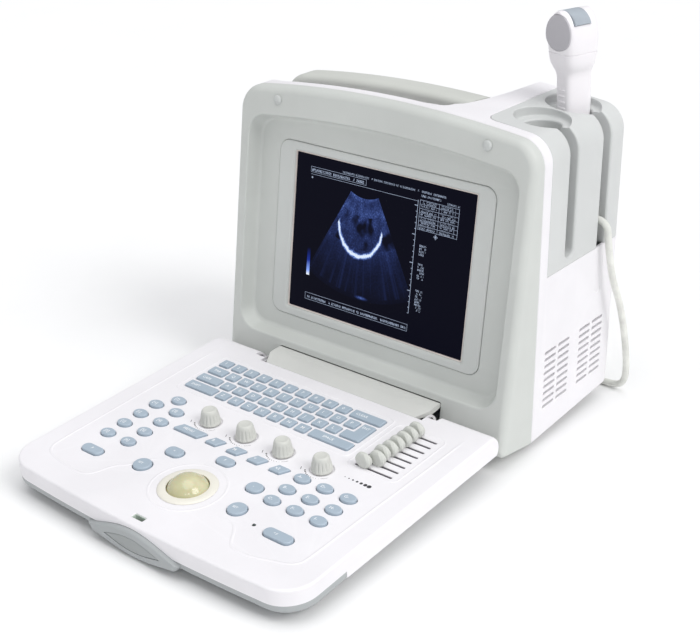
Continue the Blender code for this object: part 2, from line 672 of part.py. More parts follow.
# openings for keypads, keys, knobs, sliders, trackball, lamp and latch
QWERTY = (-128.2, 29.4, 78.2, 94.2)
LEFT_PAD = (-134.0, 106.5, -84.4, 203.0)
SOFT_PAD = (-81.4, 139.4, 58.4, 155.4)
RIGHT_PAD = (61.4, 137.2, 132.6, 195.0)
KEYS = {                       # name: (u, v, half u, half v, corner)
    "print_key": (-111.0, 219.0, 12.0, 5.6, 5.5),
    "set_key_left": (-56.6, 210.0, 8.7, 8.7, 8.6),
    "set_key_right": (56.5, 210.5, 8.7, 8.7, 8.6),
    "depth_key_left": (-47.3, 180.0, 9.4, 6.6, 6.4),
    "depth_key_right": (47.6, 179.7, 8.2, 6.8, 6.6),
    "menu_key": (0.0, 165.0, 9.4, 5.8, 5.6),
    "freeze_key": (108.5, 218.4, 14.6, 5.8, 5.7),
}
bm = bmesh.new()


def add_hole(bm, outline, lo=-6.0, hi=4.0):
    add_loft(bm, [[(u, -v, lo) for u, v in outline], [(u, -v, hi) for u, v in outline]])


for u0, v0, u1, v1 in (QWERTY, LEFT_PAD, SOFT_PAD, RIGHT_PAD):
    add_hole(bm, rounded_rect(u0, v0, u1, v1, 4.0, 2))
for u, v, hu, hv, r in KEYS.values():
    add_hole(bm, rounded_rect(u - hu - GAP, v - hv - GAP, u + hu + GAP, v + hv + GAP, r, 2))
for u in KNOB_U:
    add_hole(bm, ellipse(u, KNOB_V, 3.8, 3.8, 8))
for v in SLIDER_V:
    add_hole(bm, rounded_rect(SLOT_U[0], v - 1.2, SLOT_U[1], v + 1.2, 1.1, 1))
add_hole(bm, ellipse(BALL[0], BALL[1], 24.8, 24.8, 20))
add_hole(bm, ellipse(82.0, 218.0, 1.75, 1.75, 8))
add_hole(bm, rounded_rect(-8.5, 262.3, 4.5, 268.0, 1.0, 1))
c_open = on_panel(from_bmesh("cut_cover_openings", bm, matrix=PANEL, cutter=True))
boolean(top_cover, c_open)
# notch for the tongue, and slots for the two hinge arms
c_notch = on_panel(box("cut_tongue_notch", (-98.3, -12.3, -40), (98.3, 30, 12), matrix=PANEL, cutter=True))
boolean(top_cover, c_notch)
ARM_U = (99.6, 109.6)
bm = bmesh.new()
for sx in (-1, 1):
    u0, u1 = sorted((sx * (ARM_U[0] - 0.8), sx * (ARM_U[1] + 0.8)))
    ring = [(-HINGE_V + 15.6 * math.cos(a), HINGE_H + 15.6 * math.sin(a)) for a in
            [math.radians(-125 + 222 * i / 11) for i in range(12)]]
    ring += [(-HINGE_V - 1.9, HINGE_H + 9.5), (-HINGE_V - 9.4, HINGE_H + 9.0), (-HINGE_V - 9.4, HINGE_H - 12)]
    add_loft(bm, [[(u0, y, z) for y, z in ring], [(u1, y, z) for y, z in ring]])
c_arms = on_panel(from_bmesh("cut_hinge_arm_slots", bm, matrix=PANEL, cutter=True))
boolean(top_cover, c_arms)

# tongue over the hinge, swings with the panel into the bezel's mouth
m_tongue = tinted("tongue_grey", PALE, 0.45)
tong = [(-12.0, 0.0), (-12.0, -2.6), (12, -2.6), (18.0, -1.6), (18.8, 1.4), (16.5, 2.0), (8, 0.6)]
# (y, h) profile of the tongue, y positive towards the casing
hinge_cover = on_panel(prism("hinge_cover", [(y, h) for y, h in tong][::-1], "X", -97.8, 97.8, matrix=PANEL, mat=m_tongue))

# bottom cover: tray, visible front band and swell
m_bottom = tinted("panel_bottom_grey", (0.29, 0.32, 0.31), 0.5)
band = on_panel(loft("keyboard_bottom_cover", [
    panel_ring(-10, 0.3), panel_ring(-17, 0.3), panel_ring(-21.0, 2.4), panel_ring(-25.5, 8.0)],
    matrix=PANEL, mat=m_bottom))
k_band = on_panel(prism("keep_front_band", [(-207.3, -14.3), (-262, -16.5), (-290, -18.3), (-290, -25.2), (-262, -24.6),
                                            (-207.3, -19.6)], "X", -190, 190, matrix=PANEL, cutter=True))
boolean(band, k_band, "INTERSECT")
u_tray = on_panel(loft("join_tray", [
    [(x, y, h) for x, y in panel_outline(3.0, 4.6)] for h in (-18.0, -20.2)], matrix=PANEL, cutter=True))
boolean(band, u_tray, "UNION")
u_swell = on_panel(loft("join_swell", [swell(0, 184), swell(0, 276.4), swell(0, 278.2, 1.2), swell(0, 279.2, 4.5)],
                        matrix=PANEL, cutter=True))
boolean(band, u_swell, "UNION")
c_bc_in = on_panel(loft("cut_bottom_inside", [
    [(x, y, h) for x, y in panel_outline(6.0, 7.5)] for h in (-18.2, -2.0)], matrix=PANEL, cutter=True))
boolean(band, c_bc_in)
bm = bmesh.new()
add_loft(bm, [[(BALL[0] + (BALL_R + 1.8) * math.cos(a) * math.cos(e), -BALL[1] + (BALL_R + 1.8) * math.sin(a) * math.cos(e),
                BALL[2] - (BALL_R + 1.8) * math.sin(e)) for a in [2 * math.pi * k / 18 for k in range(18)]]
              for e in (1.4, 1.05, 0.7, 0.35, 0.0)] +
         [[(BALL[0] + (BALL_R + 1.8) * math.cos(a), -BALL[1] + (BALL_R + 1.8) * math.sin(a), 5)
           for a in [2 * math.pi * k / 18 for k in range(18)]]])
c_well = on_panel(from_bmesh("cut_ball_well", bm, matrix=PANEL, cutter=True))
boolean(band, c_well)
boolean(band, c_arms)

# front feet under the panel
for side, sx in (("left", -1), ("right", 1)):
    y0 = -236.0
    z_face = KEY_Z0 + y0 * math.sin(KEY_TILT) - 22.0 * math.cos(KEY_TILT)
    slope = (24.6 - 19.6) / (262 - 207.3)
    rings = []
    for zz, rr in ((-STAND_Z, 8.0), (-STAND_Z + 1.0, 9.0)):
        rings.append([(px, py, zz) for px, py in ellipse(sx * 130, y0, rr, rr, 16)])
    rings.append([(px, py, 0) for px, py in ellipse(sx * 130, y0, 9.0, 9.0, 16)])
    top = []
    for px, py, _ in rings[2]:
        v = -py
        h = -19.6 - (v - 207.3) * slope - GAP - 0.15
        top.append((px, py, KEY_Z0 + py * math.sin(KEY_TILT) + h * math.cos(KEY_TILT)))
    rings[2] = top
    on_panel(loft("front_foot_" + side, rings, mat=m_rubber))

box("keyboard_board", (-140, -178, -15.0), (140, -16, -13.4), matrix=PANEL, mat=m_board, smooth=False)
on_panel(bpy.data.objects["keyboard_board"])

# hinge: arms on the bezel carry pins that the panel turns on
m_pin = tinted("pin_steel", STEEL, 0.3, 0.9)
for side, sx in (("left", -1), ("right", 1)):
    a0, a1 = sorted((sx * ARM_U[0], sx * ARM_U[1]))
    hy = -HINGE_V * math.cos(KEY_TILT) - HINGE_H * math.sin(KEY_TILT)
    hz = KEY_Z0 - HINGE_V * math.sin(KEY_TILT) + HINGE_H * math.cos(KEY_TILT)
    ring = [(hy + 8 * math.cos(math.radians(a)), hz + 8 * math.sin(math.radians(a))) for a in range(-8, 281, 32)]
    ring += [(face_y(hz - 12) - GAP, hz - 12), (face_y(hz - 3.8) - GAP, hz - 3.8)]
    arm = prism("hinge_arm_" + side, ring, "X", a0, a1, mat=tinted("arm_grey", (0.30, 0.31, 0.31), 0.4, 0.4))
    bm = bmesh.new()
    bore = ellipse(hy, hz, 3.4, 3.4, 16)
    add_loft(bm, [[(a0 - 5, y, z) for y, z in bore], [(a1 + 5, y, z) for y, z in bore]])
    c_bore = from_bmesh("cut_arm_bore_" + side, bm, cutter=True)
    boolean(arm, c_bore)
shaft_end = ARM_U[1] + 3.0
on_panel(turned("hinge_shaft", [(0, shaft_end), (2.7, shaft_end), (3.0, shaft_end - 0.6), (3.0, -shaft_end + 0.6),
                                (2.7, -shaft_end), (0, -shaft_end)],
                HINGE @ Matrix.Rotation(math.radians(90), 4, "Y"), (0, 0, 0), m_pin, steps=16))


# ---------------------------------------------------------------- keypads and keys
m_keys = tinted("key_blue", KEYBLUE, 0.45)


def add_key(bm, outline, h0, h1, draft=0.7):
    cu = sum(p[0] for p in outline) / len(outline)
    cv = sum(p[1] for p in outline) / len(outline)
    hu = max(abs(p[0] - cu) for p in outline)
    hv = max(abs(p[1] - cv) for p in outline)
    top = [(cu + (u - cu) * (hu - draft) / hu, cv + (v - cv) * (hv - draft) / hv) for u, v in outline]
    add_loft(bm, [[(u, -v, h0) for u, v in outline], [(u, -v, h1 - 0.5) for u, v in outline],
                  [(u, -v, h1) for u, v in top]])


def rect(u0, v0, u1, v1):
    return [(u0, v0), (u1, v0), (u1, v1), (u0, v1)]


def qwerty_keys():
    """Outlines of the 42 typewriter keys, four rows."""
    w, d = 6.75, 6.35
    out = []
    rows = (38.4, 54.0, 69.7, 85.2)
    for i in range(10):
        u = -118.9 + i * (29.3 + 118.9) / 9
        out.append(rect(u - w, rows[0] - d, u + w, rows[0] + d))
    out.append(rect(38.95, rows[0] - d, 75.6, rows[0] + d))
    out.append(rect(-125.7, rows[1] - d, -105.2, rows[1] + d))
    for i in range(10):
        u = -95.6 + i * (51.5 + 95.6) / 9
        out.append(rect(u - w, rows[1] - d, u + w, rows[1] + d))
    out.append([(61.15, rows[1] - d), (75.6, rows[1] - d), (75.6, rows[2] + d), (52.55, rows[2] + d),
                (52.55, rows[2] - d), (61.15, rows[2] - d)])
    out.append(rect(-125.7, rows[2] - d, -97.55, rows[2] + d))
    for i in range(9):
        u = -87.9 + i * (42.9 + 87.9) / 8
        out.append(rect(u - w, rows[2] - d, u + w, rows[2] + d))
    out.append(rect(-125.7, rows[3] - d, -88.95, rows[3] + d))
    for i in range(7):
        u = -79.3 + i * (19.4 + 79.3) / 6
        out.append(rect(u - w, rows[3] - d, u + w, rows[3] + d))
    out.append(rect(29.05, rows[3] - d, 75.6, rows[3] + d))
    return out


def keypad(name, window, outlines, top=1.4, mat=m_keys):
    u0, v0, u1, v1 = window
    g = GAP
    plate = loft(name, [[(u, -v, h) for u, v in rounded_rect(u0 + g, v0 + g, u1 - g, v1 - g, 3.8, 2)]
                        for h in (-2.4, -0.3)], matrix=PANEL, mat=mat)
    bm = bmesh.new()
    for outline in outlines:
        add_key(bm, outline, -1.2, top)
    caps = on_panel(from_bmesh("join_" + name, bm, matrix=PANEL, cutter=True))
    boolean(plate, caps, "UNION")
    return on_panel(plate)


keypad("qwerty_keypad", QWERTY, qwerty_keys())
ovals = [(u, v) for u in (-120.8, -94.2) for v in (132, 152, 172, 192)] + [(-107.7, 115.7)]
keypad("left_keypad", LEFT_PAD, [ellipse(u, v, 8.0, 6.2, 8) for u, v in ovals], top=2.0)
soft = []
for u, half in ((-60.5, 15.5), (-29.0, 7.0), (-3.6, 7.0), (21.3, 7.0), (46.7, 7.0)):
    soft.append([(u - half - 2.6, 153.2), (u - half + 2.6, 141.6), (u + half + 2.6, 141.6), (u + half - 2.6, 153.2)][::-1])
keypad("soft_keypad", SOFT_PAD, soft, top=1.6)
keypad("right_keypad", RIGHT_PAD, [ellipse(u, v, 8.2, 6.3, 8) for u in (71.8, 96.8, 121.8) for v in (146.6, 165.7, 184.7)], top=2.0)
for name, (u, v, hu, hv, r) in KEYS.items():
    bm = bmesh.new()
    shape = [(a - u, b - v) for a, b in rounded_rect(u - hu, v - hv, u + hu, v + hv, r - 0.2, 2)]
    ring = lambda k, h: [(a * k, -b * k, h) for a, b in shape]
    add_loft(bm, [ring(1.0, -4.5), ring(1.0, 1.3), ring(0.93, 2.0)])
    key = from_bmesh(name, bm, matrix=PANEL @ Matrix.Translation(Vector((u, -v, 0)) / 1000), mat=m_keys)
    on_panel(key)

# ---------------------------------------------------------------- knobs
m_knob = tinted("knob_grey", (0.50, 0.50, 0.47), 0.5)
for i, u in enumerate(KNOB_U):
    bm = bmesh.new()
    n = 14
    def ring(r, h, flute=0.0):
        return [((r - (flute if k % 2 else 0)) * math.cos(2 * math.pi * k / n),
                 (r - (flute if k % 2 else 0)) * math.sin(2 * math.pi * k / n), h) for k in range(n)]
    add_loft(bm, [ring(3.0, -8), ring(3.0, 0.6), ring(9.4, 0.61), ring(9.8, 1.4, 0.5), ring(9.0, 7.6, 0.6),
                  ring(7.6, 9.2), ring(6.9, 13.2), ring(5.6, 14.3)])
    on_panel(from_bmesh("knob_%d" % (i + 1), bm, matrix=PANEL @ Matrix.Translation(Vector((u, -KNOB_V, 0)) / 1000), mat=m_knob))

# ---------------------------------------------------------------- sliders
m_slider = tinted("slider_grey", (0.50, 0.51, 0.48), 0.5)
for i, (u, v) in enumerate(zip(SLIDER_U, SLIDER_V)):
    bm = bmesh.new()
    def oct_ring(hx, hy, h, c=0.45):
        return [(hx, -hy * c, h), (hx, hy * c, h), (hx * (1 - c), hy, h), (-hx * (1 - c), hy, h),
                (-hx, hy * c, h), (-hx, -hy * c, h), (-hx * (1 - c), -hy, h), (hx * (1 - c), -hy, h)]
    add_loft(bm, [oct_ring(2.0, 0.7, -6), oct_ring(2.0, 0.7, 0.7), oct_ring(4.8, 2.6, 0.71), oct_ring(6.8, 3.4, 3.4),
                  oct_ring(7.5, 3.6, 7.4), oct_ring(6.2, 3.0, 11.6), oct_ring(3.4, 1.8, 14.2)])
    on_panel(from_bmesh("slider_%d" % (i + 1), bm, matrix=PANEL @ Matrix.Translation(Vector((u, -v, 0)) / 1000), mat=m_slider))

# ---------------------------------------------------------------- trackball
m_ball = tinted("ball_olive", (0.52, 0.50, 0.33), 0.25)
m_ring = tinted("ring_ivory", (0.78, 0.77, 0.70), 0.45)
bm = bmesh.new()
bmesh.ops.create_uvsphere(bm, u_segments=18, v_segments=10, radius=BALL_R)
on_panel(from_bmesh("trackball", bm, matrix=PANEL @ Matrix.Translation(Vector((BALL[0], -BALL[1], BALL[2])) / 1000), mat=m_ball))
on_panel(turned("trackball_ring", [(18.4, 1.6), (26.4, 1.3), (28.2, GAP), (24.2, GAP), (24.2, -5.6), (20.8, -5.6), (19.3, -1.6)],
                PANEL, (BALL[0], -BALL[1], 0), m_ring, steps=20))
on_panel(turned("status_lamp", [(0, 0.9), (1.0, 0.6), (1.3, 0), (1.3, -4), (0, -4)], PANEL, (82.0, -218.0, 0),
                tinted("lamp_smoke", (0.10, 0.13, 0.12), 0.3), steps=8))

# ================================================================ probe
PROBE_AZ = math.radians(-15.0)       # turn of the head about its own axis
PROBE = TO_OBJECT @ Matrix.Translation(Vector((CUP_X, CUP_Y[1], 0)) / 1000) @ Matrix.Rotation(PROBE_AZ, 4, "Z")
m_probe = tinted("probe_white", (0.82, 0.80, 0.82), 0.35)
m_lens = tinted("lens_grey", (0.30, 0.33, 0.35), 0.5)


def probe_ring(z, hx, hy, n=18, power=2.6):
    pts = []
    for k in range(n):
        a = 2 * math.pi * k / n
        c, s = math.cos(a), math.sin(a)
        k2 = (abs(c) ** power + abs(s) ** power) ** (-1 / power)
        pts.append((hx * k2 * c, hy * k2 * s, z))
    return pts


probe_body = loft("probe_body", [
    probe_ring(214, 6.0, 7.0), probe_ring(216, 8.0, 11.0), probe_ring(232, 8.6, 14.0), probe_ring(300, 8.8, 14.8),
    probe_ring(326, 9.2, 15.0), probe_ring(333, 12.6, 17.4), probe_ring(341, 15.4, 18.6), probe_ring(356, 16.2, 19.0),
    probe_ring(368, 15.8, 18.8), probe_ring(377, 13.2, 18.2), probe_ring(383, 8.6, 16.8), probe_ring(385.6, 3.0, 14.5)],
    matrix=PROBE, mat=m_probe)
# seat of the lens: a band over the crown, turned about the head's long axis
LENS_Z = 369.0


def lens_ring(y, r, inset=0.0):
    return [(y, r)]


def crown(r_in, r_out, y0, y1, a0=20, a1=160, n=8):
    """Curved bar about the local Y axis: angles in the X-Z plane."""
    rings = []
    for i in range(n + 1):
        a = math.radians(a0 + (a1 - a0) * i / n)
        c, s = math.cos(a), math.sin(a)
        rings.append([(r_in * c, y0, LENS_Z + r_in * s), (r_out * c, y0, LENS_Z + r_out * s),
                      (r_out * c, y1, LENS_Z + r_out * s), (r_in * c, y1, LENS_Z + r_in * s)])
    return rings


c_seat = loft("cut_lens_seat", crown(14.2 - GAP, 24, -14.3, 6.3, 16, 164), matrix=PROBE, cutter=True)
boolean(probe_body, c_seat)
probe_lens = loft("probe_lens", crown(14.2, 16.9, -14, 6, 17.5, 162.5), matrix=PROBE, mat=m_lens)
relief = turned("probe_strain_relief", [(0, 213.7), (6.2, 213.7), (6.0, 211), (5.0, 209), (5.4, 207), (4.6, 204), (5.0, 202), (4.1, 197.8), (0, 197.8)],
                PROBE, (0, 0, 0), tinted("relief_grey", (0.35, 0.37, 0.38), 0.6), steps=12)

# ================================================================ cable
CABLE_R = 3.3
m_cable = tinted("cable_ivory", (0.74, 0.74, 0.68), 0.5)
FLOOR = -STAND_Z + CABLE_R + 0.15
COIL_R = 37.0
COIL_C = (70.0, 268.0)
SOUTH = COIL_C[1] - COIL_R - 6.7        # the cord joins the coil on its near side


def catmull(points, per):
    """Smooth curve through the route's own points."""
    out = []
    ext = [Vector(points[0]) * 2 - Vector(points[1])] + [Vector(p) for p in points] + \
          [Vector(points[-1]) * 2 - Vector(points[-2])]
    for i in range(1, len(ext) - 2):
        p0, p1, p2, p3 = ext[i - 1:i + 3]
        for k in range(per):
            t = k / per
            out.append(0.5 * ((2 * p1) + (p2 - p0) * t + (2 * p0 - 5 * p1 + 4 * p2 - p3) * t * t
                              + (3 * p1 - p0 - 3 * p2 + p3) * t ** 3))
    out.append(Vector(points[-1]))
    return out


def resample(points, step):
    """Points spaced evenly along a path."""
    out = [points[0].copy()]
    left = step
    for a, b in zip(points, points[1:]):
        seg = (b - a).length
        pos = 0.0
        while seg - pos >= left:
            pos += left
            out.append(a.lerp(b, pos / seg))
            left = step
        left -= seg - pos
    if (out[-1] - points[-1]).length > step * 0.4:
        out.append(points[-1].copy())
    else:
        out[-1] = points[-1].copy()
    return out


def cable(name, points, step=9.0):
    lead = Vector(points[0]).lerp(Vector(points[1]), 0.9)   # straight out of the exit
    path = [Vector(points[0])] + resample([lead] + catmull(points, 12)[12:], step)
    curve = bpy.data.curves.new(name, "CURVE")
    curve.dimensions = "3D"
    curve.bevel_depth = CABLE_R / 1000
    curve.bevel_resolution = 2
    curve.use_fill_caps = True
    spline = curve.splines.new("POLY")
    spline.points.add(len(path) - 1)
    for k, p in enumerate(path):
        spline.points[k].co = (*P(*p), 1.0)
    curve.materials.append(m_cable)
    obj = bpy.data.objects.new(name, curve)
    return link(obj)


cable("probe_cable", [
    (131, 172, 197.4), (131, 172, 194.2), (132.0, 172, 190.2), (135.2, 172, 186.4), (140.6, 172, 184.4), (146.8, 172, 186.0),
    (153.4, 172, 191.2), (160.4, 171.8, 194.6), (167.4, 171.8, 191.4), (171.6, 172.4, 182.6), (174.2, 173.4, 168),
    (178.8, 179, 137), (182, 192, 104), (184, 204, 66), (183, 212, 34), (180, 218.5, 12), (173.5, 222.8, FLOOR + 1.2),
    (163, SOUTH + 0.2, FLOOR), (148, SOUTH, FLOOR), (122, SOUTH, FLOOR), (COIL_C[0] + 26.5, SOUTH, FLOOR)])
turned("cable_coil", [(COIL_R - 10, 13.4), (COIL_R + 10, 13.4), (COIL_R + 10, 0.0), (COIL_R - 10, 0.0)],
       TO_OBJECT, (COIL_C[0], COIL_C[1], -STAND_Z + 0.1), m_cable, steps=24)
cable("connector_cable", [
    (SOCK[0], 222.2, 30.3), (SOCK[0], 222.2, 27.2), (SOCK[0] + 1.0, SOUTH - 1.2, 20.0), (SOCK[0] + 7.5, SOUTH - 0.4, 11.6),
    (COIL_C[0] - 33, SOUTH, FLOOR + 6.9), (COIL_C[0] - 26.5, SOUTH, FLOOR + 6.7)], step=5.0)
connector = box("probe_connector", (SOCK[0] - 23, 205.2, SOCK[1] - 9), (SOCK[0] + 23, 236, SOCK[1] + 9), bevel=3, segments=2,
                mat=tinted("connector_grey", (0.22, 0.23, 0.24), 0.5))
bm = bmesh.new()
rings = [[(x, y, z) for x, y in ellipse(SOCK[0], 222.2, r, r, 12)] for z, r in
         ((30.7, 3.9), (36, 4.4), (46, 5.6), (54, 6.0))]
add_loft(bm, rings)
u_relief = from_bmesh("join_connector_relief", bm, cutter=True)
boolean(connector, u_relief, "UNION")
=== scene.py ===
import math
import random

import bmesh
import bpy
from mathutils import Matrix, Vector


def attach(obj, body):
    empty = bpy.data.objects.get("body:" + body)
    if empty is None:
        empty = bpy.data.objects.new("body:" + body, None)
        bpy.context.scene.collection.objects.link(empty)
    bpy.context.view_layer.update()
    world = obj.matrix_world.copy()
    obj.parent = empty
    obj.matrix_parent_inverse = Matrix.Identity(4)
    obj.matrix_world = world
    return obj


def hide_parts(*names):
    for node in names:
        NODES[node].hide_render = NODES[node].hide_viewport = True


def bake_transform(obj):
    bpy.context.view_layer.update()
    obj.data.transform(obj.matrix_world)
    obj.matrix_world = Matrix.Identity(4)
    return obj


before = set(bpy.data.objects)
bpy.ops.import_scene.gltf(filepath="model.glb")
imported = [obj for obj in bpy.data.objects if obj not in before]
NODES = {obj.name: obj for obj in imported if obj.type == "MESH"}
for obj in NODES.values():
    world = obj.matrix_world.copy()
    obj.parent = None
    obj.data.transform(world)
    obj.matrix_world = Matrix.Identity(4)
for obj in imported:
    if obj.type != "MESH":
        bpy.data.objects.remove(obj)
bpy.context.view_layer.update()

SCENE = bpy.context.scene

# ------------------------------------------------------------------ frames of the design
FRAME_Y, STAND_Z, GAP = 35.25, 6.0, 0.3
BODY_HALF_W, ARCH_TOP, ARCH_DIV, ARCH_R = 168.0, 303.0, 2340.0, 25.0
BEZEL_BACK_Y, REAR_Y = 64.2, 208.0
TILT = math.radians(7.76)
LCD_C = (0.0, 48.46, 157.04)
RIM_D = 15.0
KEY_TILT = math.radians(2.56)
KEY_Z0 = 39.43
KB_HALF_W, KB_FRONT, KB_CORNER = 168.5, 276.0, 30.0
HINGE_V, HINGE_H, HINGE_R = 3.6, -13.3, 13.3
DECK_Z = 256.0
INSERT = (98.0, 77.5, 166.0)
CUP_X, CUP_Y, SLOT_Y = 131.0, (118.5, 172.0), (114.5, 172.5)
CUP_R, DISH_R, DISH_Z, CUP_FLOOR = 17.2, 25.5, 288.5, 178.0
KNOB_U, KNOB_V = (-57.0, -13.0, 31.0, 75.5), 125.0
SLIDER_V = (36.4, 45.8, 55.2, 64.5, 73.8, 83.0, 92.4, 101.5)
SLIDER_U = (110.9, 110.9, 110.9, 110.2, 110.0, 108.6, 110.8, 102.7)
SLOT_U = (93.0, 132.5)
BALL, BALL_R = (0.0, 211.0, -8.5), 20.0


TO_OBJECT = Matrix.Translation(Vector((0, FRAME_Y, STAND_Z)) / 1000.0)
PANEL = TO_OBJECT @ Matrix.Translation((0, 0, KEY_Z0 / 1000)) @ Matrix.Rotation(KEY_TILT, 4, "X")
SCREEN = (TO_OBJECT @ Matrix.Translation(Vector(LCD_C) / 1000)
          @ Matrix.Rotation(math.pi / 2 - TILT, 4, "X"))
PROBE = (TO_OBJECT @ Matrix.Translation(Vector((CUP_X, CUP_Y[1], 0)) / 1000)
         @ Matrix.Rotation(math.radians(-15.0), 4, "Z"))
MM = Matrix.Scale(0.001, 4)

# ------------------------------------------------------------------ camera
az, el, roll = math.radians(39.3), math.radians(25.26), math.radians(-0.91)
back = Vector((math.sin(az) * math.cos(el), -math.cos(az) * math.cos(el), math.sin(el)))
right = (-back).cross(Vector((0, 0, 1))).normalized()
up = right.cross(-back)
r2 = right * math.cos(roll) + up * math.sin(roll)
u2 = -right * math.sin(roll) + up * math.cos(roll)
pos = Vector((0.70536, -0.81819, 0.63642))
cam_data = bpy.data.cameras.new("camera")
cam_data.lens = 67.77
cam_data.sensor_width = 36.0
cam_data.clip_start, cam_data.clip_end = 0.01, 50.0
camera = bpy.data.objects.new("camera", cam_data)
camera.matrix_world = Matrix(((r2.x, u2.x, back.x, pos.x), (r2.y, u2.y, back.y, pos.y),
                              (r2.z, u2.z, back.z, pos.z), (0, 0, 0, 1)))
SCENE.collection.objects.link(camera)
SCENE.camera = camera


# ------------------------------------------------------------------ materials
class Graph:
    """Small wrapper that strings shader nodes together."""

    def __init__(self, name, rgb):
        self.mat = bpy.data.materials.new(name)
        self.mat.use_nodes = True
        self.mat.diffuse_color = (*rgb, 1)
        self.tree = self.mat.node_tree
        self.bsdf = self.tree.nodes["Principled BSDF"]
        self.coord = self.node("ShaderNodeTexCoord").outputs["Object"]

    def node(self, kind, **settings):
        n = self.tree.nodes.new(kind)
        for key, value in settings.items():
            setattr(n, key, value)
        return n

    def put(self, socket, value):
        if isinstance(value, bpy.types.NodeSocket):
            self.tree.links.new(value, socket)
        elif value is not None:
            socket.default_value = value

    def math(self, op, a, b=None, c=None, clamp=False):
        n = self.node("ShaderNodeMath", operation=op, use_clamp=clamp)
        for i, v in enumerate((a, b, c)):
            self.put(n.inputs[i], v)
        return n.outputs[0]

    def noise(self, scale, detail=3.0, rough=0.5, vector=None, out="Fac"):
        n = self.node("ShaderNodeTexNoise")
        self.put(n.inputs["Vector"], vector or self.coord)
        n.inputs["Scale"].default_value = scale
        n.inputs["Detail"].default_value = detail
        n.inputs["Roughness"].default_value = rough
        return n.outputs[out]

    def ramp(self, fac, stops):
        n = self.node("ShaderNodeValToRGB")
        self.put(n.inputs[0], fac)
        while len(n.color_ramp.elements) < len(stops):
            n.color_ramp.elements.new(0.5)
        for e, (at, rgb) in zip(n.color_ramp.elements, stops):
            e.position = at
            e.color = (*rgb, 1) if isinstance(rgb, tuple) else (rgb, rgb, rgb, 1)
        return n.outputs[0]

    def mix(self, fac, a, b, blend="MIX"):
        n = self.node("ShaderNodeMix", data_type="RGBA", blend_type=blend)
        self.put(n.inputs[0], fac)
        for i, v in ((6, a), (7, b)):
            self.put(n.inputs[i], (*v, 1) if isinstance(v, tuple) else v)
        return n.outputs[2]

    def bump(self, height, strength, distance, normal=None):
        n = self.node("ShaderNodeBump")
        n.inputs["Strength"].default_value = strength
        n.inputs["Distance"].default_value = distance
        self.put(n.inputs["Height"], height)
        if normal:
            self.put(n.inputs["Normal"], normal)
        return n.outputs[0]


def plastic(name, rgb, rough=0.45, var=0.035, grain=0.12, grain_scale=1400.0, edge_wear_and_highlight=0.03, spec=0.5,
            coat=0.0, dust=0.03):
    """Moulded plastic: spark-eroded grain, faint flow clouds, edges lightened as rubbed wear and as a painted
    highlight, a trace of dust.
    """
    g = Graph(name, rgb)
    dark = tuple(c * (1 - var) for c in rgb)
    light = tuple(min(c * (1 + var), 0.98) for c in rgb)
    col = g.mix(g.ramp(g.noise(9.0, 4.0, 0.55), ((0.35, 0.0), (0.65, 1.0))), dark, light)
    fine = g.noise(grain_scale * 0.35, 2.0, 0.6)
    col = g.mix(g.math("MULTIPLY", g.math("SUBTRACT", fine, 0.5), 0.10, clamp=True), col,
                tuple(min(c * 1.2, 0.98) for c in rgb))
    # painted highlight: convex edges (pointiness) are lightened, partly as rubbed wear and partly to paint the bright
    # bead that light puts along rounded rims
    edge = g.ramp(g.node("ShaderNodeNewGeometry").outputs["Pointiness"], ((0.505, 0.0), (0.56, 1.0)))
    col = g.mix(g.math("MULTIPLY", edge, edge_wear_and_highlight * 4, clamp=True), col,
                tuple(min(c * 1.12 + 0.02, 0.98) for c in rgb))
    speck = g.ramp(g.noise(70.0, 6.0, 0.75), ((0.60, 0.0), (0.78, 1.0)))
    col = g.mix(g.math("MULTIPLY", speck, dust, clamp=True), col, (0.42, 0.41, 0.39))
    g.put(g.bsdf.inputs["Base Color"], col)
    r = g.math("ADD", g.math("MULTIPLY", g.noise(30.0, 5.0, 0.6), 0.14), rough - 0.07)
    r = g.math("ADD", r, g.math("MULTIPLY", fine, 0.05))
    g.put(g.bsdf.inputs["Roughness"], r)
    g.bsdf.inputs["Specular IOR Level"].default_value = spec
    g.bsdf.inputs["Coat Weight"].default_value = coat
    g.bsdf.inputs["Coat Roughness"].default_value = 0.15
    n = g.bump(g.noise(grain_scale, 2.0, 0.65), grain, 0.00006)
    n = g.bump(g.noise(14.0, 1.0, 0.4), 0.06, 0.0006, n)
    g.put(g.bsdf.inputs["Normal"], n)
    return g.mat


def rubber(name, rgb):
    g = Graph(name, rgb)
    col = g.mix(g.noise(60.0, 4.0), tuple(c * 0.8 for c in rgb), tuple(c * 1.25 for c in rgb))
    dusty = g.ramp(g.noise(140.0, 5.0, 0.7), ((0.55, 0.0), (0.8, 1.0)))
    col = g.mix(g.math("MULTIPLY", dusty, 0.18, clamp=True), col, (0.25, 0.24, 0.23))
    g.put(g.bsdf.inputs["Base Color"], col)
    g.put(g.bsdf.inputs["Roughness"], g.math("ADD", g.math("MULTIPLY", g.noise(300.0), 0.2), 0.68))
    g.bsdf.inputs["Specular IOR Level"].default_value = 0.3
    g.put(g.bsdf.inputs["Normal"], g.bump(g.noise(2200.0, 2.0), 0.25, 0.00008))
    return g.mat


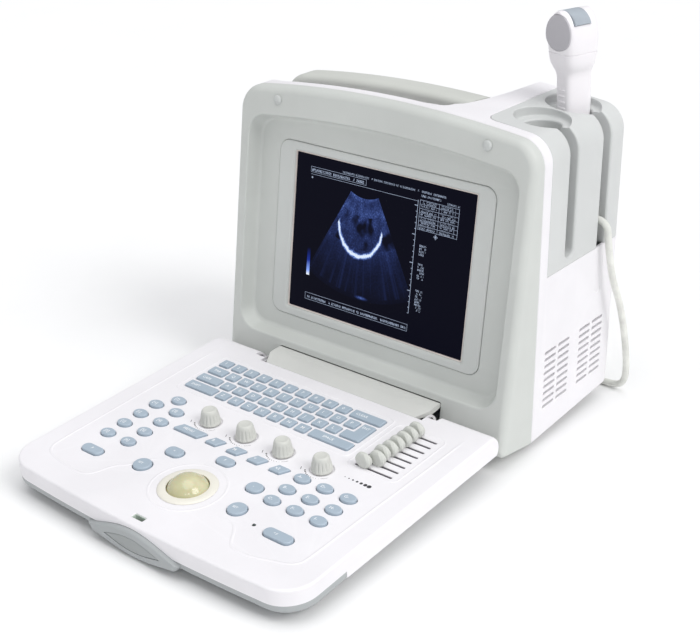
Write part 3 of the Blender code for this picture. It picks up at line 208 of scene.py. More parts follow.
def metal(name, rgb, rough=0.32, stretch=(1, 30, 30)):
    """Brushed or rolled metal with fine directional scratches."""
    g = Graph(name, rgb)
    m = g.node("ShaderNodeMapping")
    g.put(m.inputs["Vector"], g.coord)
    m.inputs["Scale"].default_value = stretch
    lines = g.noise(60.0, 4.0, 0.6, m.outputs[0])
    col = g.mix(lines, tuple(c * 0.82 for c in rgb), tuple(min(c * 1.12, 1) for c in rgb))
    stain = g.ramp(g.noise(45.0, 5.0, 0.7), ((0.56, 0.0), (0.75, 1.0)))
    col = g.mix(g.math("MULTIPLY", stain, 0.2, clamp=True), col, tuple(c * 0.6 for c in rgb))
    g.put(g.bsdf.inputs["Base Color"], col)
    g.bsdf.inputs["Metallic"].default_value = 0.9
    g.put(g.bsdf.inputs["Roughness"], g.math("ADD", g.math("MULTIPLY", lines, 0.22), rough - 0.1))
    g.put(g.bsdf.inputs["Normal"], g.bump(lines, 0.15, 0.00005))
    return g.mat


def circuit(name):
    """Solder mask with tracks, pads and darker component blocks."""
    g = Graph(name, (0.03, 0.16, 0.08))
    m = g.node("ShaderNodeMapping")
    g.put(m.inputs["Vector"], g.coord)
    m.inputs["Scale"].default_value = (1, 1, 1)
    brick = g.node("ShaderNodeTexBrick")
    g.put(brick.inputs["Vector"], m.outputs[0])
    brick.inputs["Scale"].default_value = 160.0
    brick.inputs["Mortar Size"].default_value = 0.05
    brick.inputs["Color1"].default_value = (0.015, 0.10, 0.045, 1)
    brick.inputs["Color2"].default_value = (0.02, 0.14, 0.06, 1)
    brick.inputs["Mortar"].default_value = (0.05, 0.26, 0.12, 1)
    vor = g.node("ShaderNodeTexVoronoi")
    g.put(vor.inputs["Vector"], g.coord)
    vor.inputs["Scale"].default_value = 210.0
    pads = g.ramp(vor.outputs["Distance"], ((0.10, 1.0), (0.14, 0.0)))
    col = g.mix(pads, brick.outputs["Color"], (0.62, 0.58, 0.42))
    g.put(g.bsdf.inputs["Base Color"], col)
    g.put(g.bsdf.inputs["Roughness"], g.math("ADD", g.math("MULTIPLY", g.noise(80.0), 0.2), 0.28))
    g.put(g.bsdf.inputs["Metallic"], g.math("MULTIPLY", pads, 0.8))
    g.put(g.bsdf.inputs["Normal"], g.bump(brick.outputs["Fac"], 0.3, 0.0001))
    return g.mat


def lin(r, g, b):
    """sRGB bytes to linear."""
    def f(c):
        c /= 255.0
        return c / 12.92 if c <= 0.04045 else ((c + 0.055) / 1.055) ** 2.4
    return (f(r), f(g), f(b))


WHITE = plastic("white_casing", lin(238, 236, 239), 0.40, grain=0.10)
PANEL_WHITE = plastic("white_panel", lin(238, 236, 239), 0.42, grain=0.10)
BEZEL = plastic("bezel_grey", lin(205, 208, 204), 0.46, grain=0.14)
FRAME_GREY = plastic("screen_frame_grey", lin(206, 209, 206), 0.44, grain=0.12)
HOLDER = plastic("holder_grey", lin(208, 210, 209), 0.44)
HANDLE = plastic("handle_grey", lin(204, 206, 200), 0.48)
TONGUE = plastic("tongue_grey", lin(213, 214, 210), 0.44)
DARKGREY = plastic("band_grey", lin(171, 175, 176), 0.50, grain=0.16)
LENS_INSET = plastic("grip_inset_grey", lin(160, 164, 164), 0.55, grain=0.3, grain_scale=900)
KEY = plastic("key_blue", lin(168, 183, 196), 0.42, edge_wear_and_highlight=0.05, grain=0.10)
KEYMAT = rubber("key_mat", lin(120, 142, 158))
INK_WHITE = plastic("legend_white", (0.86, 0.88, 0.90), 0.5, dust=0.0)
INK_DARK = plastic("print_dark", (0.025, 0.025, 0.03), 0.55, dust=0.0)
KNOB = plastic("knob_grey", lin(207, 208, 202), 0.46, grain=0.12)
SLIDER = plastic("slider_grey", lin(206, 208, 202), 0.46)
RING = plastic("ring_ivory", lin(232, 229, 218), 0.36)
LAMP = plastic("lamp_smoke", (0.03, 0.05, 0.045), 0.12, coat=0.6)
DOT = rubber("stop_dot_rubber", lin(196, 199, 197))
PROBE_WHITE = plastic("probe_white", lin(243, 240, 243), 0.34, coat=0.15)
CAP_GREY = plastic("probe_cap_grey", lin(186, 184, 189), 0.42)
LENS = rubber("probe_lens_rubber", lin(164, 172, 180))
RELIEF = rubber("strain_relief_rubber", lin(120, 124, 126))
CABLE = rubber("cable_ivory", lin(226, 227, 221))
CONNECTOR = plastic("connector_grey", lin(120, 122, 124), 0.5)
REAR = plastic("rear_panel_grey", lin(188, 191, 188), 0.5)
PAN = plastic("base_grey", lin(150, 153, 151), 0.55)
BLACK = plastic("fan_black", (0.02, 0.02, 0.022), 0.45, edge_wear_and_highlight=0.08)
SOCKET = plastic("socket_black", (0.035, 0.037, 0.04), 0.45, edge_wear_and_highlight=0.06)
FOOT = rubber("foot_rubber", (0.025, 0.025, 0.028))
ARM = metal("arm_zinc", (0.35, 0.36, 0.36), 0.42)
STEEL = metal("sheet_steel", (0.58, 0.59, 0.61), 0.36)
PIN = metal("pin_steel", (0.62, 0.62, 0.64), 0.25, (30, 1, 1))
BOARD = circuit("board_green")
GASKET = rubber("screen_gasket", lin(222, 212, 206))
LATCH = plastic("latch_green", lin(196, 208, 198), 0.45)


def ball_material():
    """Cast trackball resin: glossy, slightly cloudy olive cream."""
    g = Graph("ball_resin", lin(202, 198, 160))
    cloud = g.noise(55.0, 5.0, 0.55)
    col = g.mix(g.ramp(cloud, ((0.35, 0.0), (0.7, 1.0))), lin(196, 192, 152), lin(212, 208, 172))
    g.put(g.bsdf.inputs["Base Color"], col)
    g.put(g.bsdf.inputs["Roughness"], g.math("ADD", g.math("MULTIPLY", g.noise(400.0), 0.08), 0.10))
    g.bsdf.inputs["Subsurface Weight"].default_value = 0.15
    g.bsdf.inputs["Subsurface Scale"].default_value = 0.004
    g.bsdf.inputs["Coat Weight"].default_value = 0.3
    g.put(g.bsdf.inputs["Normal"], g.bump(g.noise(500.0, 2.0), 0.03, 0.00004))
    return g.mat


BALLMAT = ball_material()


def screen_material():
    """The display's picture, worked out from the screen plane's own coordinates in millimetres."""
    g = Graph("lcd_picture", (0.01, 0.01, 0.02))
    sep = g.node("ShaderNodeSeparateXYZ")
    g.put(sep.inputs[0], g.coord)
    x = g.math("MULTIPLY", sep.outputs[0], 1000.0)
    y = g.math("MULTIPLY", sep.outputs[1], 1000.0)
    M = g.math

    def band(v, a, b):
        return M("MULTIPLY", M("GREATER_THAN", v, a), M("LESS_THAN", v, b))

    def rect(x0, x1, y0, y1):
        return M("MULTIPLY", band(x, x0, x1), band(y, y0, y1))

    def frame_lines(x0, x1, y0, y1, t=0.35):
        return M("SUBTRACT", rect(x0 - t, x1 + t, y0 - t, y1 + t), rect(x0, x1, y0, y1))

    def white(a, b):
        n = g.node("ShaderNodeTexWhiteNoise", noise_dimensions="2D")
        c = g.node("ShaderNodeCombineXYZ")
        g.put(c.inputs[0], a)
        g.put(c.inputs[1], b)
        g.put(n.inputs["Vector"], c.outputs[0])
        return n.outputs["Value"]

    def text(x0, x1, y0, y1, ch=2.4, fill=0.5, seed=0.0):
        """Dot-matrix characters: 4 by 5 dots in each cell, some cells left blank."""
        cw = ch * 0.72
        sx = M("DIVIDE", M("SUBTRACT", x, x0), cw)
        sy = M("DIVIDE", M("SUBTRACT", y, y0), ch * 1.35)
        fx, fy = M("FRACT", sx), M("FRACT", sy)
        dots = white(M("FLOOR", M("MULTIPLY", sx, 5.0)), M("ADD", M("FLOOR", M("MULTIPLY", sy, 7.0)), seed))
        word = white(M("ADD", M("FLOOR", sx), 91.0 + seed), M("ADD", M("FLOOR", sy), 17.0))
        lit = M("MULTIPLY", M("GREATER_THAN", dots, 1 - fill), M("GREATER_THAN", word, 0.18))
        cell = M("MULTIPLY", M("LESS_THAN", fx, 0.8), M("LESS_THAN", fy, 0.74))
        return M("MULTIPLY", M("MULTIPLY", lit, cell), rect(x0, x1, y0, y1))

    def total(items):
        out = items[0]
        for i in items[1:]:
            out = M("ADD", out, i)
        return out

    # lettering and lines
    marks = [
        text(-85.5, -22, 62.0, 65.2, 2.6, 0.55), frame_lines(-86.4, -19.5, 61.2, 66.2, 0.3),
        text(-48, 41, 67.3, 69.8, 2.0, 0.42, 3.0), rect(-86.4, 42, 58.9, 59.2),
        text(44, 71, 67.4, 69.8, 2.0, 0.55, 5.0), text(44, 66, 63.6, 66.0, 2.0, 0.5, 9.0),
        text(73, 86.5, 61.8, 64.2, 2.0, 0.5, 6.0),
        frame_lines(-84.5, 41, -66.8, -60.4, 0.3),
        text(-82, 39.5, -65.4, -62.6, 2.4, 0.55, 11.0),
        text(47, 54.5, 9.0, 19.5, 2.0, 0.5, 21.0), text(47, 54.5, -14.0, 1.5, 2.0, 0.5, 23.0),
        text(47, 54.5, -45.0, -24.0, 2.0, 0.5, 25.0),
        rect(40.9, 41.35, -49, 60),
    ]
    tick = M("MULTIPLY", M("LESS_THAN", M("FRACT", M("DIVIDE", y, 5.45)), 0.10), rect(39.6, 41.2, -49, 60))
    tick2 = M("MULTIPLY", M("LESS_THAN", M("FRACT", M("DIVIDE", y, 27.25)), 0.024), rect(37.6, 41.2, -49, 60))
    marks += [tick, tick2]
    # table of seven rows and two columns
    rows = M("MULTIPLY", M("LESS_THAN", M("FRACT", M("DIVIDE", M("SUBTRACT", y, 33.0), 3.94)), 0.075),
             rect(43.5, 86.5, 32.8, 61.0))
    marks += [rows, rect(43.3, 43.65, 32.8, 60.8), rect(86.3, 86.65, 32.8, 60.8), rect(64.6, 64.9, 32.8, 60.8)]
    cell = M("LESS_THAN", M("FRACT", M("DIVIDE", M("SUBTRACT", y, 33.6), 3.94)), 0.72)
    marks.append(M("MULTIPLY", cell, M("ADD", text(45, 62, 33.6, 60.4, 1.9, 0.5, 31.0),
                                       text(67, 83, 33.6, 60.4, 1.9, 0.45, 37.0))))
    # pointer star and orientation dot
    dx, dy = M("ABSOLUTE", M("SUBTRACT", x, 63.6)), M("ABSOLUTE", M("SUBTRACT", y, 29.8))
    star = M("MULTIPLY", M("LESS_THAN", M("ADD", dx, dy), 2.6),
             M("MAXIMUM", M("LESS_THAN", M("MINIMUM", dx, dy), 0.28),
               M("LESS_THAN", M("ABSOLUTE", M("SUBTRACT", dx, dy)), 0.28)))
    ox, oy = M("SUBTRACT", x, -84.6), M("SUBTRACT", y, 55.9)
    orient = M("LESS_THAN", M("ADD", M("MULTIPLY", ox, ox), M("MULTIPLY", oy, oy)), 0.9)
    marks += [star, orient]
    ink = M("MINIMUM", total(marks), 1.0)
    soft = M("MULTIPLY", ink, M("ADD", M("MULTIPLY", g.noise(90.0, 1.0), 0.5), 0.45))
    # grey scale
    scale_t = M("DIVIDE", M("ADD", y, 42.2), 28.2)
    scale_bar = M("MULTIPLY", rect(-85.0, -81.2, -42.2, -14.0), M("POWER", M("SUBTRACT", 1.0, scale_t), 1.2))

    # fan-shaped scan
    cx, cy = M("SUBTRACT", x, -20.0), M("SUBTRACT", 82.0, y)
    r = M("SQRT", M("ADD", M("MULTIPLY", cx, cx), M("MULTIPLY", cy, cy)))
    th = M("ARCTAN2", cx, cy)
    inside = M("MULTIPLY", band(r, 34.0, 134.0), M("LESS_THAN", M("ABSOLUTE", th), 0.50))
    pol = g.node("ShaderNodeCombineXYZ")
    g.put(pol.inputs[0], M("MULTIPLY", r, 0.022))
    g.put(pol.inputs[1], M("MULTIPLY", th, 2.2))
    pol = pol.outputs[0]
    speckle = g.noise(24.0, 4.0, 0.7, pol)
    tissue = g.noise(3.2, 4.0, 0.6, pol)
    lobes = g.noise(1.7, 2.0, 0.5, pol)
    fade = g.ramp(M("DIVIDE", M("SUBTRACT", r, 34.0), 100.0),
                  ((0.0, 0.62), (0.05, 0.40), (0.14, 0.52), (0.30, 0.42), (0.44, 0.30), (0.52, 0.30),
                   (0.62, 0.16), (0.80, 0.07), (1.0, 0.02)))
    body = M("MULTIPLY", fade, M("MULTIPLY", M("POWER", speckle, 1.6), 2.4))
    body = M("MULTIPLY", body, M("ADD", M("MULTIPLY", tissue, 1.5), 0.1))
    dark = g.ramp(lobes, ((0.40, 0.05), (0.50, 1.0)))
    deep = band(r, 52.0, 84.0)
    body = M("MULTIPLY", body, M("ADD", M("MULTIPLY", M("SUBTRACT", 1.0, deep), 1.0), M("MULTIPLY", deep, dark)))
    bend = M("ADD", th, 0.04)
    line_r = M("SUBTRACT", M("ADD", 88.6, M("MULTIPLY", g.noise(5.0, 3.0, 0.6, pol), 5.0)),
               M("MULTIPLY", M("MULTIPLY", bend, bend), 150.0))
    dist = M("ABSOLUTE", M("SUBTRACT", r, line_r))
    echo = M("MULTIPLY", M("POWER", M("MAXIMUM", M("SUBTRACT", 1.0, M("DIVIDE", dist, 4.2)), 0.0), 1.5),
             M("ADD", M("MULTIPLY", speckle, 2.0), 0.3))
    echo = M("MULTIPLY", echo, M("LESS_THAN", M("ABSOLUTE", bend), 0.40))
    streak = g.node("ShaderNodeCombineXYZ")
    g.put(streak.inputs[0], M("MULTIPLY", r, 0.002))
    g.put(streak.inputs[1], M("MULTIPLY", th, 9.0))
    rays = g.ramp(g.noise(2.4, 3.0, 0.6, streak.outputs[0]), ((0.50, 0.0), (0.72, 1.0)))
    rays = M("MULTIPLY", rays, M("MULTIPLY", band(r, 84.0, 130.0), 0.14))
    bx, by = M("DIVIDE", M("SUBTRACT", x, -15.5), 9.0), M("DIVIDE", M("ADD", y, 49.0), 2.2)
    tail = M("MAXIMUM", M("SUBTRACT", 1.0, M("SQRT", M("ADD", M("MULTIPLY", bx, bx), M("MULTIPLY", by, by)))), 0.0)
    scan = total([body, echo, rays, M("MULTIPLY", tail, M("MULTIPLY", speckle, 1.2))])
    scan = M("MULTIPLY", scan, inside)
    scan_col = g.ramp(scan, ((0.0, (0.0, 0.0, 0.004)), (0.25, (0.012, 0.022, 0.09)), (0.5, (0.05, 0.09, 0.30)),
                             (0.75, (0.20, 0.33, 0.72)), (1.0, (0.75, 0.85, 1.0))))
    bar_col = g.ramp(scale_bar, ((0.0, (0.0, 0.0, 0.0)), (0.4, (0.01, 0.03, 0.30)), (0.8, (0.25, 0.40, 0.95)),
                                 (1.0, (0.9, 0.95, 1.0))))
    col = g.mix(1.0, scan_col, bar_col, "ADD")
    col = g.mix(soft, col, (0.52, 0.62, 0.82))
    live = rect(-105.3, 105.3, -78.9, 78.9)
    g.bsdf.inputs["Base Color"].default_value = (0.0015, 0.0015, 0.002, 1)
    g.put(g.bsdf.inputs["Emission Color"], g.mix(live, (0.0, 0.0, 0.0), g.mix(1.0, col, (0.0018, 0.002, 0.0035), "ADD")))
    g.bsdf.inputs["Emission Strength"].default_value = 1.0
    g.put(g.bsdf.inputs["Roughness"], M("ADD", M("MULTIPLY", g.noise(20.0, 3.0), 0.05), 0.20))
    g.bsdf.inputs["Specular IOR Level"].default_value = 0.03
    g.put(g.bsdf.inputs["Normal"], g.bump(g.noise(2500.0, 1.0), 0.03, 0.00002))
    return g.mat


LCD = screen_material()

# ------------------------------------------------------------------ mesh helpers


def add_loft(bm, rings, cap=True, closed=False):
    rows = [[bm.verts.new(p) for p in ring] for ring in rings]
    n = len(rows[0])
    pairs = list(zip(rows, rows[1:]))
    if closed:
        pairs.append((rows[-1], rows[0]))
    for a, b in pairs:
        for i in range(n):
            j = (i + 1) % n
            bm.faces.new((a[i], a[j], b[j], b[i]))
    if cap and not closed:
        bm.faces.new(rows[0][::-1])
        bm.faces.new(rows[-1])


def to_object(name, bm, matrix=TO_OBJECT):
    """Mesh object in world metres from a bmesh in millimetres of the given frame."""
    bmesh.ops.recalc_face_normals(bm, faces=bm.faces)
    mesh = bpy.data.meshes.new(name)
    bm.to_mesh(mesh)
    bm.free()
    mesh.transform(matrix @ MM)
    obj = bpy.data.objects.new(name, mesh)
    SCENE.collection.objects.link(obj)
    return obj


def loft(name, rings, matrix=TO_OBJECT, closed=False):
    bm = bmesh.new()
    add_loft(bm, rings, closed=closed)
    return to_object(name, bm, matrix)


def prism_rings(outline, axis, a, b):
    def lift(p, t):
        return {"X": (t, p[0], p[1]), "Y": (p[0], t, p[1]), "Z": (p[0], p[1], t)}[axis]
    return [[lift(p, a) for p in outline], [lift(p, b) for p in outline]]


def prism(name, outline, axis, a, b, matrix=TO_OBJECT):
    return loft(name, prism_rings(outline, axis, a, b), matrix)


def add_box(bm, lo, hi):
    ring = [(lo[0], lo[1]), (hi[0], lo[1]), (hi[0], hi[1]), (lo[0], hi[1])]
    add_loft(bm, prism_rings(ring, "Z", lo[2], hi[2]))


def box(name, lo, hi, matrix=TO_OBJECT):
    bm = bmesh.new()
    add_box(bm, lo, hi)
    return to_object(name, bm, matrix)


def arc(cx, cy, r, a0, a1, n):
    return [(cx + r * math.cos(math.radians(a0 + (a1 - a0) * i / n)),
             cy + r * math.sin(math.radians(a0 + (a1 - a0) * i / n))) for i in range(n + 1)]


def rounded_rect(x0, y0, x1, y1, r, n=6):
    return (arc(x0 + r, y0 + r, r, 180, 270, n) + arc(x1 - r, y0 + r, r, 270, 360, n)
            + arc(x1 - r, y1 - r, r, 0, 90, n) + arc(x0 + r, y1 - r, r, 90, 180, n))


def ellipse(cx, cy, rx, ry, n):
    return [(cx + rx * math.cos(2 * math.pi * i / n), cy + ry * math.sin(2 * math.pi * i / n))
            for i in range(n)]


def add_turned(bm, profile, centre=(0, 0, 0), n=48, wobble=None):
    """Closed body of revolution about Z; profile of (radius, height), a ring if it never meets the axis."""
    rings = []
    for r, h in profile:
        rings.append([(centre[0] + (r + (wobble(r, h, 2 * math.pi * k / n) if wobble else 0)) * math.cos(2 * math.pi * k / n),
                       centre[1] + (r + (wobble(r, h, 2 * math.pi * k / n) if wobble else 0)) * math.sin(2 * math.pi * k / n),
                       centre[2] + h) for k in range(n)])
    add_loft(bm, rings, closed=min(p[0] for p in profile) > 0.2 and profile[0] == profile[-1])


def turned(name, profile, matrix, n=48, ring=False, wobble=None):
    bm = bmesh.new()
    rings = [[((r + (wobble(r, h, 2 * math.pi * k / n) if wobble else 0)) * math.cos(2 * math.pi * k / n),
               (r + (wobble(r, h, 2 * math.pi * k / n) if wobble else 0)) * math.sin(2 * math.pi * k / n), h)
              for k in range(n)] for r, h in profile]
    add_loft(bm, rings, closed=ring)
    return to_object(name, bm, matrix)


def evaluated(obj):
    bpy.context.view_layer.update()
    graph = bpy.context.evaluated_depsgraph_get()
    return bpy.data.meshes.new_from_object(obj.evaluated_get(graph), depsgraph=graph)


def bake(obj):
    """Applies the object's modifiers."""
    mesh = evaluated(obj)
    old = obj.data
    obj.modifiers.clear()
    obj.data = mesh
    bpy.data.meshes.remove(old)
    return obj


def drop(*objs):
    for o in objs:
        mesh = o.data
        bpy.data.objects.remove(o, do_unlink=True)
        if mesh.users == 0:
            bpy.data.meshes.remove(mesh)


def boolean(obj, *others, how="DIFFERENCE"):
    """Exact Boolean, applied; the cutters are used up."""
    for o in others:
        m = obj.modifiers.new("b", "BOOLEAN")
        m.operation, m.object, m.solver = how, o, "EXACT"
    bake(obj)
    drop(*others)
    return obj


def bevel(obj, width, segments=3, angle=40):
    m = obj.modifiers.new("edges", "BEVEL")
    m.width, m.segments, m.limit_method = width / 1000, segments, "ANGLE"
    m.angle_limit = math.radians(angle)
    m.use_clamp_overlap = True
    return bake(obj)


def finish(obj, mat, body="root", nodes=(), angle=34, tidy=True):
    """Cleans, shades and hands the piece to its body."""
    if obj.type == "MESH":
        if tidy:
            bm = bmesh.new()
            bm.from_mesh(obj.data)
            bmesh.ops.remove_doubles(bm, verts=bm.verts, dist=2e-6)
            bmesh.ops.dissolve_degenerate(bm, edges=bm.edges, dist=2e-6)
            bm.to_mesh(obj.data)
            bm.free()
        obj.data.shade_smooth()
        obj.data.set_sharp_from_angle(angle=math.radians(angle))
        w = obj.modifiers.new("weighted_normals", "WEIGHTED_NORMAL")
        w.keep_sharp = True
        w.weight = 80
    obj.data.materials.clear()
    obj.data.materials.append(mat)
    if body:
        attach(obj, body)
    if nodes:
        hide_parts(*([nodes] if isinstance(nodes, str) else nodes))
    return obj


def area(pts):
    return sum(a[0] * b[1] - b[0] * a[1] for a, b in zip(pts, pts[1:] + pts[:1])) / 2


def ccw(pts):
    return pts if area(pts) > 0 else pts[::-1]


def grown(pts, d):
    """Counter-clockwise outline moved outwards by d, with mitred corners."""
    out, n = [], len(pts)
    for i in range(n):
        p0, p1, p2 = Vector(pts[i - 1]), Vector(pts[i]), Vector(pts[(i + 1) % n])
        a, b = (p1 - p0).normalized(), (p2 - p1).normalized()
        na, nb = Vector((a.y, -a.x)), Vector((b.y, -b.x))
        k = d / max(1 + na.dot(nb), 0.2)
        out.append(tuple(p1 + (na + nb) * k))
    return out


def rounded(pts, r, rc=None, n=4):
    """Rounds each corner of a counter-clockwise outline; rc is the radius of hollow corners."""
    out, m = [], len(pts)
    for i in range(m):
        p0, p1, p2 = Vector(pts[i - 1]), Vector(pts[i]), Vector(pts[(i + 1) % m])
        d1, d2 = (p0 - p1).normalized(), (p2 - p1).normalized()
        hollow = (d2.x * d1.y - d2.y * d1.x) < 0
        rr = (rc if hollow and rc is not None else r)
        ang = math.acos(max(-1, min(1, d1.dot(d2))))
        t = min(rr / math.tan(ang / 2), 0.46 * (p0 - p1).length, 0.46 * (p2 - p1).length)
        rr = t * math.tan(ang / 2)
        c = p1 + (d1 + d2).normalized() * (rr / math.sin(ang / 2))
        s, e = p1 + d1 * t - c, p1 + d2 * t - c
        a0 = math.atan2(s.y, s.x)
        sweep = (math.atan2(e.y, e.x) - a0 + math.pi) % (2 * math.pi) - math.pi
        out += [(c.x + rr * math.cos(a0 + sweep * k / n), c.y + rr * math.sin(a0 + sweep * k / n))
                for k in range(n + 1)]
    return out


def catmull(points, per):
    out = []
    pts = [Vector(p) for p in points]
    ext = [pts[0] * 2 - pts[1]] + pts + [pts[-1] * 2 - pts[-2]]
    for i in range(1, len(ext) - 2):
        p0, p1, p2, p3 = ext[i - 1:i + 3]
        for k in range(per):
            t = k / per
            out.append(0.5 * ((2 * p1) + (p2 - p0) * t + (2 * p0 - 5 * p1 + 4 * p2 - p3) * t * t
                              + (3 * p1 - p0 - 3 * p2 + p3) * t ** 3))
    out.append(pts[-1].copy())
    return out


def resample(points, step):
    total = sum((b - a).length for a, b in zip(points, points[1:]))
    count = max(2, round(total / step))
    step = total / count
    out, need, walked = [points[0].copy()], step, 0.0
    for a, b in zip(points, points[1:]):
        seg = (b - a).length
        while walked + seg >= need - 1e-9 and len(out) < count:
            out.append(a.lerp(b, (need - walked) / seg))
            need += step
        walked += seg
    out.append(points[-1].copy())
    return out


def tube_rings(path, radius, n=14):
    """Circles carried along a path without twisting; radius may be a function of the index."""
    rings, normal = [], None
    for i, p in enumerate(path):
        t = (path[min(i + 1, len(path) - 1)] - path[max(i - 1, 0)]).normalized()
        if normal is None:
            normal = t.cross(Vector((0.31, 0.17, 0.93))).normalized()
        normal = (normal - t * normal.dot(t)).normalized()
        side = t.cross(normal)
        r = radius(i) if callable(radius) else radius
        rings.append([tuple(p + normal * (r * math.cos(2 * math.pi * k / n)) + side * (r * math.sin(2 * math.pi * k / n)))
                      for k in range(n)])
    return rings


def join_into(name, objs):
    """One mesh from several, in world space."""
    bm = bmesh.new()
    for o in objs:
        o.data.transform(o.matrix_world)
        bm.from_mesh(o.data)
    mesh = bpy.data.meshes.new(name)
    bm.to_mesh(mesh)
    bm.free()
    drop(*objs)
    obj = bpy.data.objects.new(name, mesh)
    SCENE.collection.objects.link(obj)
    return obj


def quarter(n):
    """Angles from 0 to 90 degrees."""
    return [math.pi / 2 * i / n for i in range(n + 1)]


# ------------------------------------------------------------------ outlines shared by the casing pieces
def arch_z(x, inset=0.0):
    return ARCH_TOP - x * x / ARCH_DIV - inset


def arch_outline(inset, zb, corner_n=16, arch_n=40):
    w = BODY_HALF_W - inset
    r = max(ARCH_R - inset, 3.0)
    lean = 6.5
    ex = w - r + r * math.sin(math.radians(lean))
    zc = arch_z(ex, inset) - r * math.cos(math.radians(lean))
    rb = 4.0
    z0 = zb + inset
    pts = arc(-w + rb, z0 + rb, rb, 180, 270, 5) + arc(w - rb, z0 + rb, rb, 270, 360, 5)
    pts += arc(w - r, zc, r, 0, 90 - lean, corner_n)
    for i in range(1, arch_n):
        x = ex - 2 * ex * i / arch_n
        pts.append((x, arch_z(x, inset)))
    pts += [(-x, z) for x, z in reversed(arc(w - r, zc, r, 0, 90 - lean, corner_n))]
    return pts


def floor_z(y):
    if y < 62:
        return 1.4 + (62 - y) * 0.155 if y > 30 else 6.4 + (30 - y) * 0.22
    return 1.4 + (y - 62) * 0.058


def face_y(z, d=RIM_D):
    y0 = LCD_C[1] - d * math.cos(TILT)
    z0 = LCD_C[2] + d * math.sin(TILT)
    return y0 + (z - z0) * math.tan(TILT)


def tilted_ring(s, inset, **kw):
    return [(x, face_y(z, RIM_D - s), z) for x, z in arch_outline(inset, floor_z(14 + s), **kw)]


def flat_ring(y, inset, **kw):
    return [(x, y, z) for x, z in arch_outline(inset, floor_z(y), **kw)]


def recess_outline(u, w0, w1, r, n=12, top_n=24):
    top = lambda x: w1 - x * x / ARCH_DIV
    pts = arc(-u + r, w0 + r, r, 180, 270, n) + arc(u - r, w0 + r, r, 270, 360, n)
    zc = top(u - r) - r
    pts += arc(u - r, zc, r, 0, 84, n)
    ex = u - r + r * math.sin(math.radians(6))
    for i in range(1, top_n):
        x = ex - 2 * ex * i / top_n
        pts.append((x, top(x)))
    pts += [(-x, z) for x, z in reversed(arc(u - r, zc, r, 0, 84, n))]
    return pts


def recess_ring(delta, d):
    return [(x, y, d) for x, y in recess_outline(150 + delta, -104.2 - delta * 1.2, 113 + delta, 18 + delta * 0.5)]


def side_x(z):
    """Half width of the casing at height z near its rounded upper corner."""
    lean = math.radians(6.5)
    ex = BODY_HALF_W - ARCH_R + ARCH_R * math.sin(lean)
    zc = arch_z(ex) - ARCH_R * math.cos(lean)
    if z <= zc:
        return BODY_HALF_W
    s = min((z - zc) / ARCH_R, 0.97)
    return BODY_HALF_W - ARCH_R + ARCH_R * math.sqrt(1 - s * s)


# ------------------------------------------------------------------ front bezel
rings = [tilted_ring(7 * (1 - math.cos(a)), 7 * (1 - math.sin(a))) for a in quarter(9)]
bezel = loft("bezel_shell", rings + [flat_ring(BEZEL_BACK_Y - 0.5, 0.0), flat_ring(BEZEL_BACK_Y, 0.5)])
c_hollow = loft("c1", [tilted_ring(3.0, 6.4, corner_n=5, arch_n=8), tilted_ring(7.5, 3.0, corner_n=5, arch_n=8),
                       flat_ring(BEZEL_BACK_Y + 3, 3.0, corner_n=5, arch_n=8)])
c_keep = loft("c2", [[(x, y, d) for x, y in recess_outline(u, w0, w1, r, 3, 6)] for d, u, w0, w1, r in
                     ((-3.0, 153.0, -107.2, 116.0, 20), (0.0, 153.4, -107.6, 116.4, 20),
                      (16.0, 159.4, -115.4, 121.4, 23))], SCREEN)
boolean(c_hollow, c_keep)
draft = lambda d: 4.0 * d / 12.8
FILLET, RIM_R = 2.6, 1.5
rings = [recess_ring(draft(FILLET * (1 - math.cos(a))) - FILLET * (1 - math.sin(a)), FILLET * (1 - math.cos(a)))
         for a in quarter(6)]
for k in range(8):
    a = math.radians(82 * k / 7)
    rings.append(recess_ring(draft(RIM_D - RIM_R) + RIM_R * (1 - math.cos(a)) * 1.15, RIM_D - RIM_R + RIM_R * math.sin(a)))
rings.append(recess_ring(draft(RIM_D - RIM_R) + RIM_R * 1.15 + 4.2, RIM_D + 0.6))
c_recess = loft("c3", rings, SCREEN)
rings = [[(x, y, -20) for x, y in rounded_rect(-125, -88, 125, 88, 12, 8)]]
rings += [[(x, y, -0.9 + 0.9 * math.sin(a)) for x, y in
           rounded_rect(-125 - g, -88 - g, 125 + g, 88 + g, 12 + g, 8)]
          for a, g in [(math.radians(80 * k / 4), 0.9 * (1 - math.cos(math.radians(80 * k / 4)))) for k in range(5)]]
rings.append([(x, y, 3) for x, y in rounded_rect(-128, -91, 128, 91, 15, 8)])
c_window = loft("c4", rings, SCREEN)
mouth = rounded_rect(-98.6, -30, 98.6, 43.8, 2.0, 5)
c_mouth = loft("c5", prism_rings(mouth, "Y", -12, 40))
boolean(bezel, c_hollow, c_recess, c_window, c_mouth)
finish(bezel, BEZEL, nodes="front_bezel")

for side, sx in (("left", -1), ("right", 1)):
    w = (284.5 - LCD_C[2] - RIM_D * math.sin(TILT)) / math.cos(TILT)
    m = SCREEN @ Matrix.Translation(Vector((119 * sx, w, RIM_D)) / 1000)
    prof = [(0.001, 2.2)] + [(4.3 * math.sin(a) ** 0.9, 0.9 + 1.3 * math.cos(a)) for a in quarter(8)[1:]]
    prof += [(4.8, 0.75), (4.8, 0.32), (0.001, 0.32)]
    finish(turned("stop_button_" + side, prof, m, 48), DOT, nodes="stop_dot_" + side)

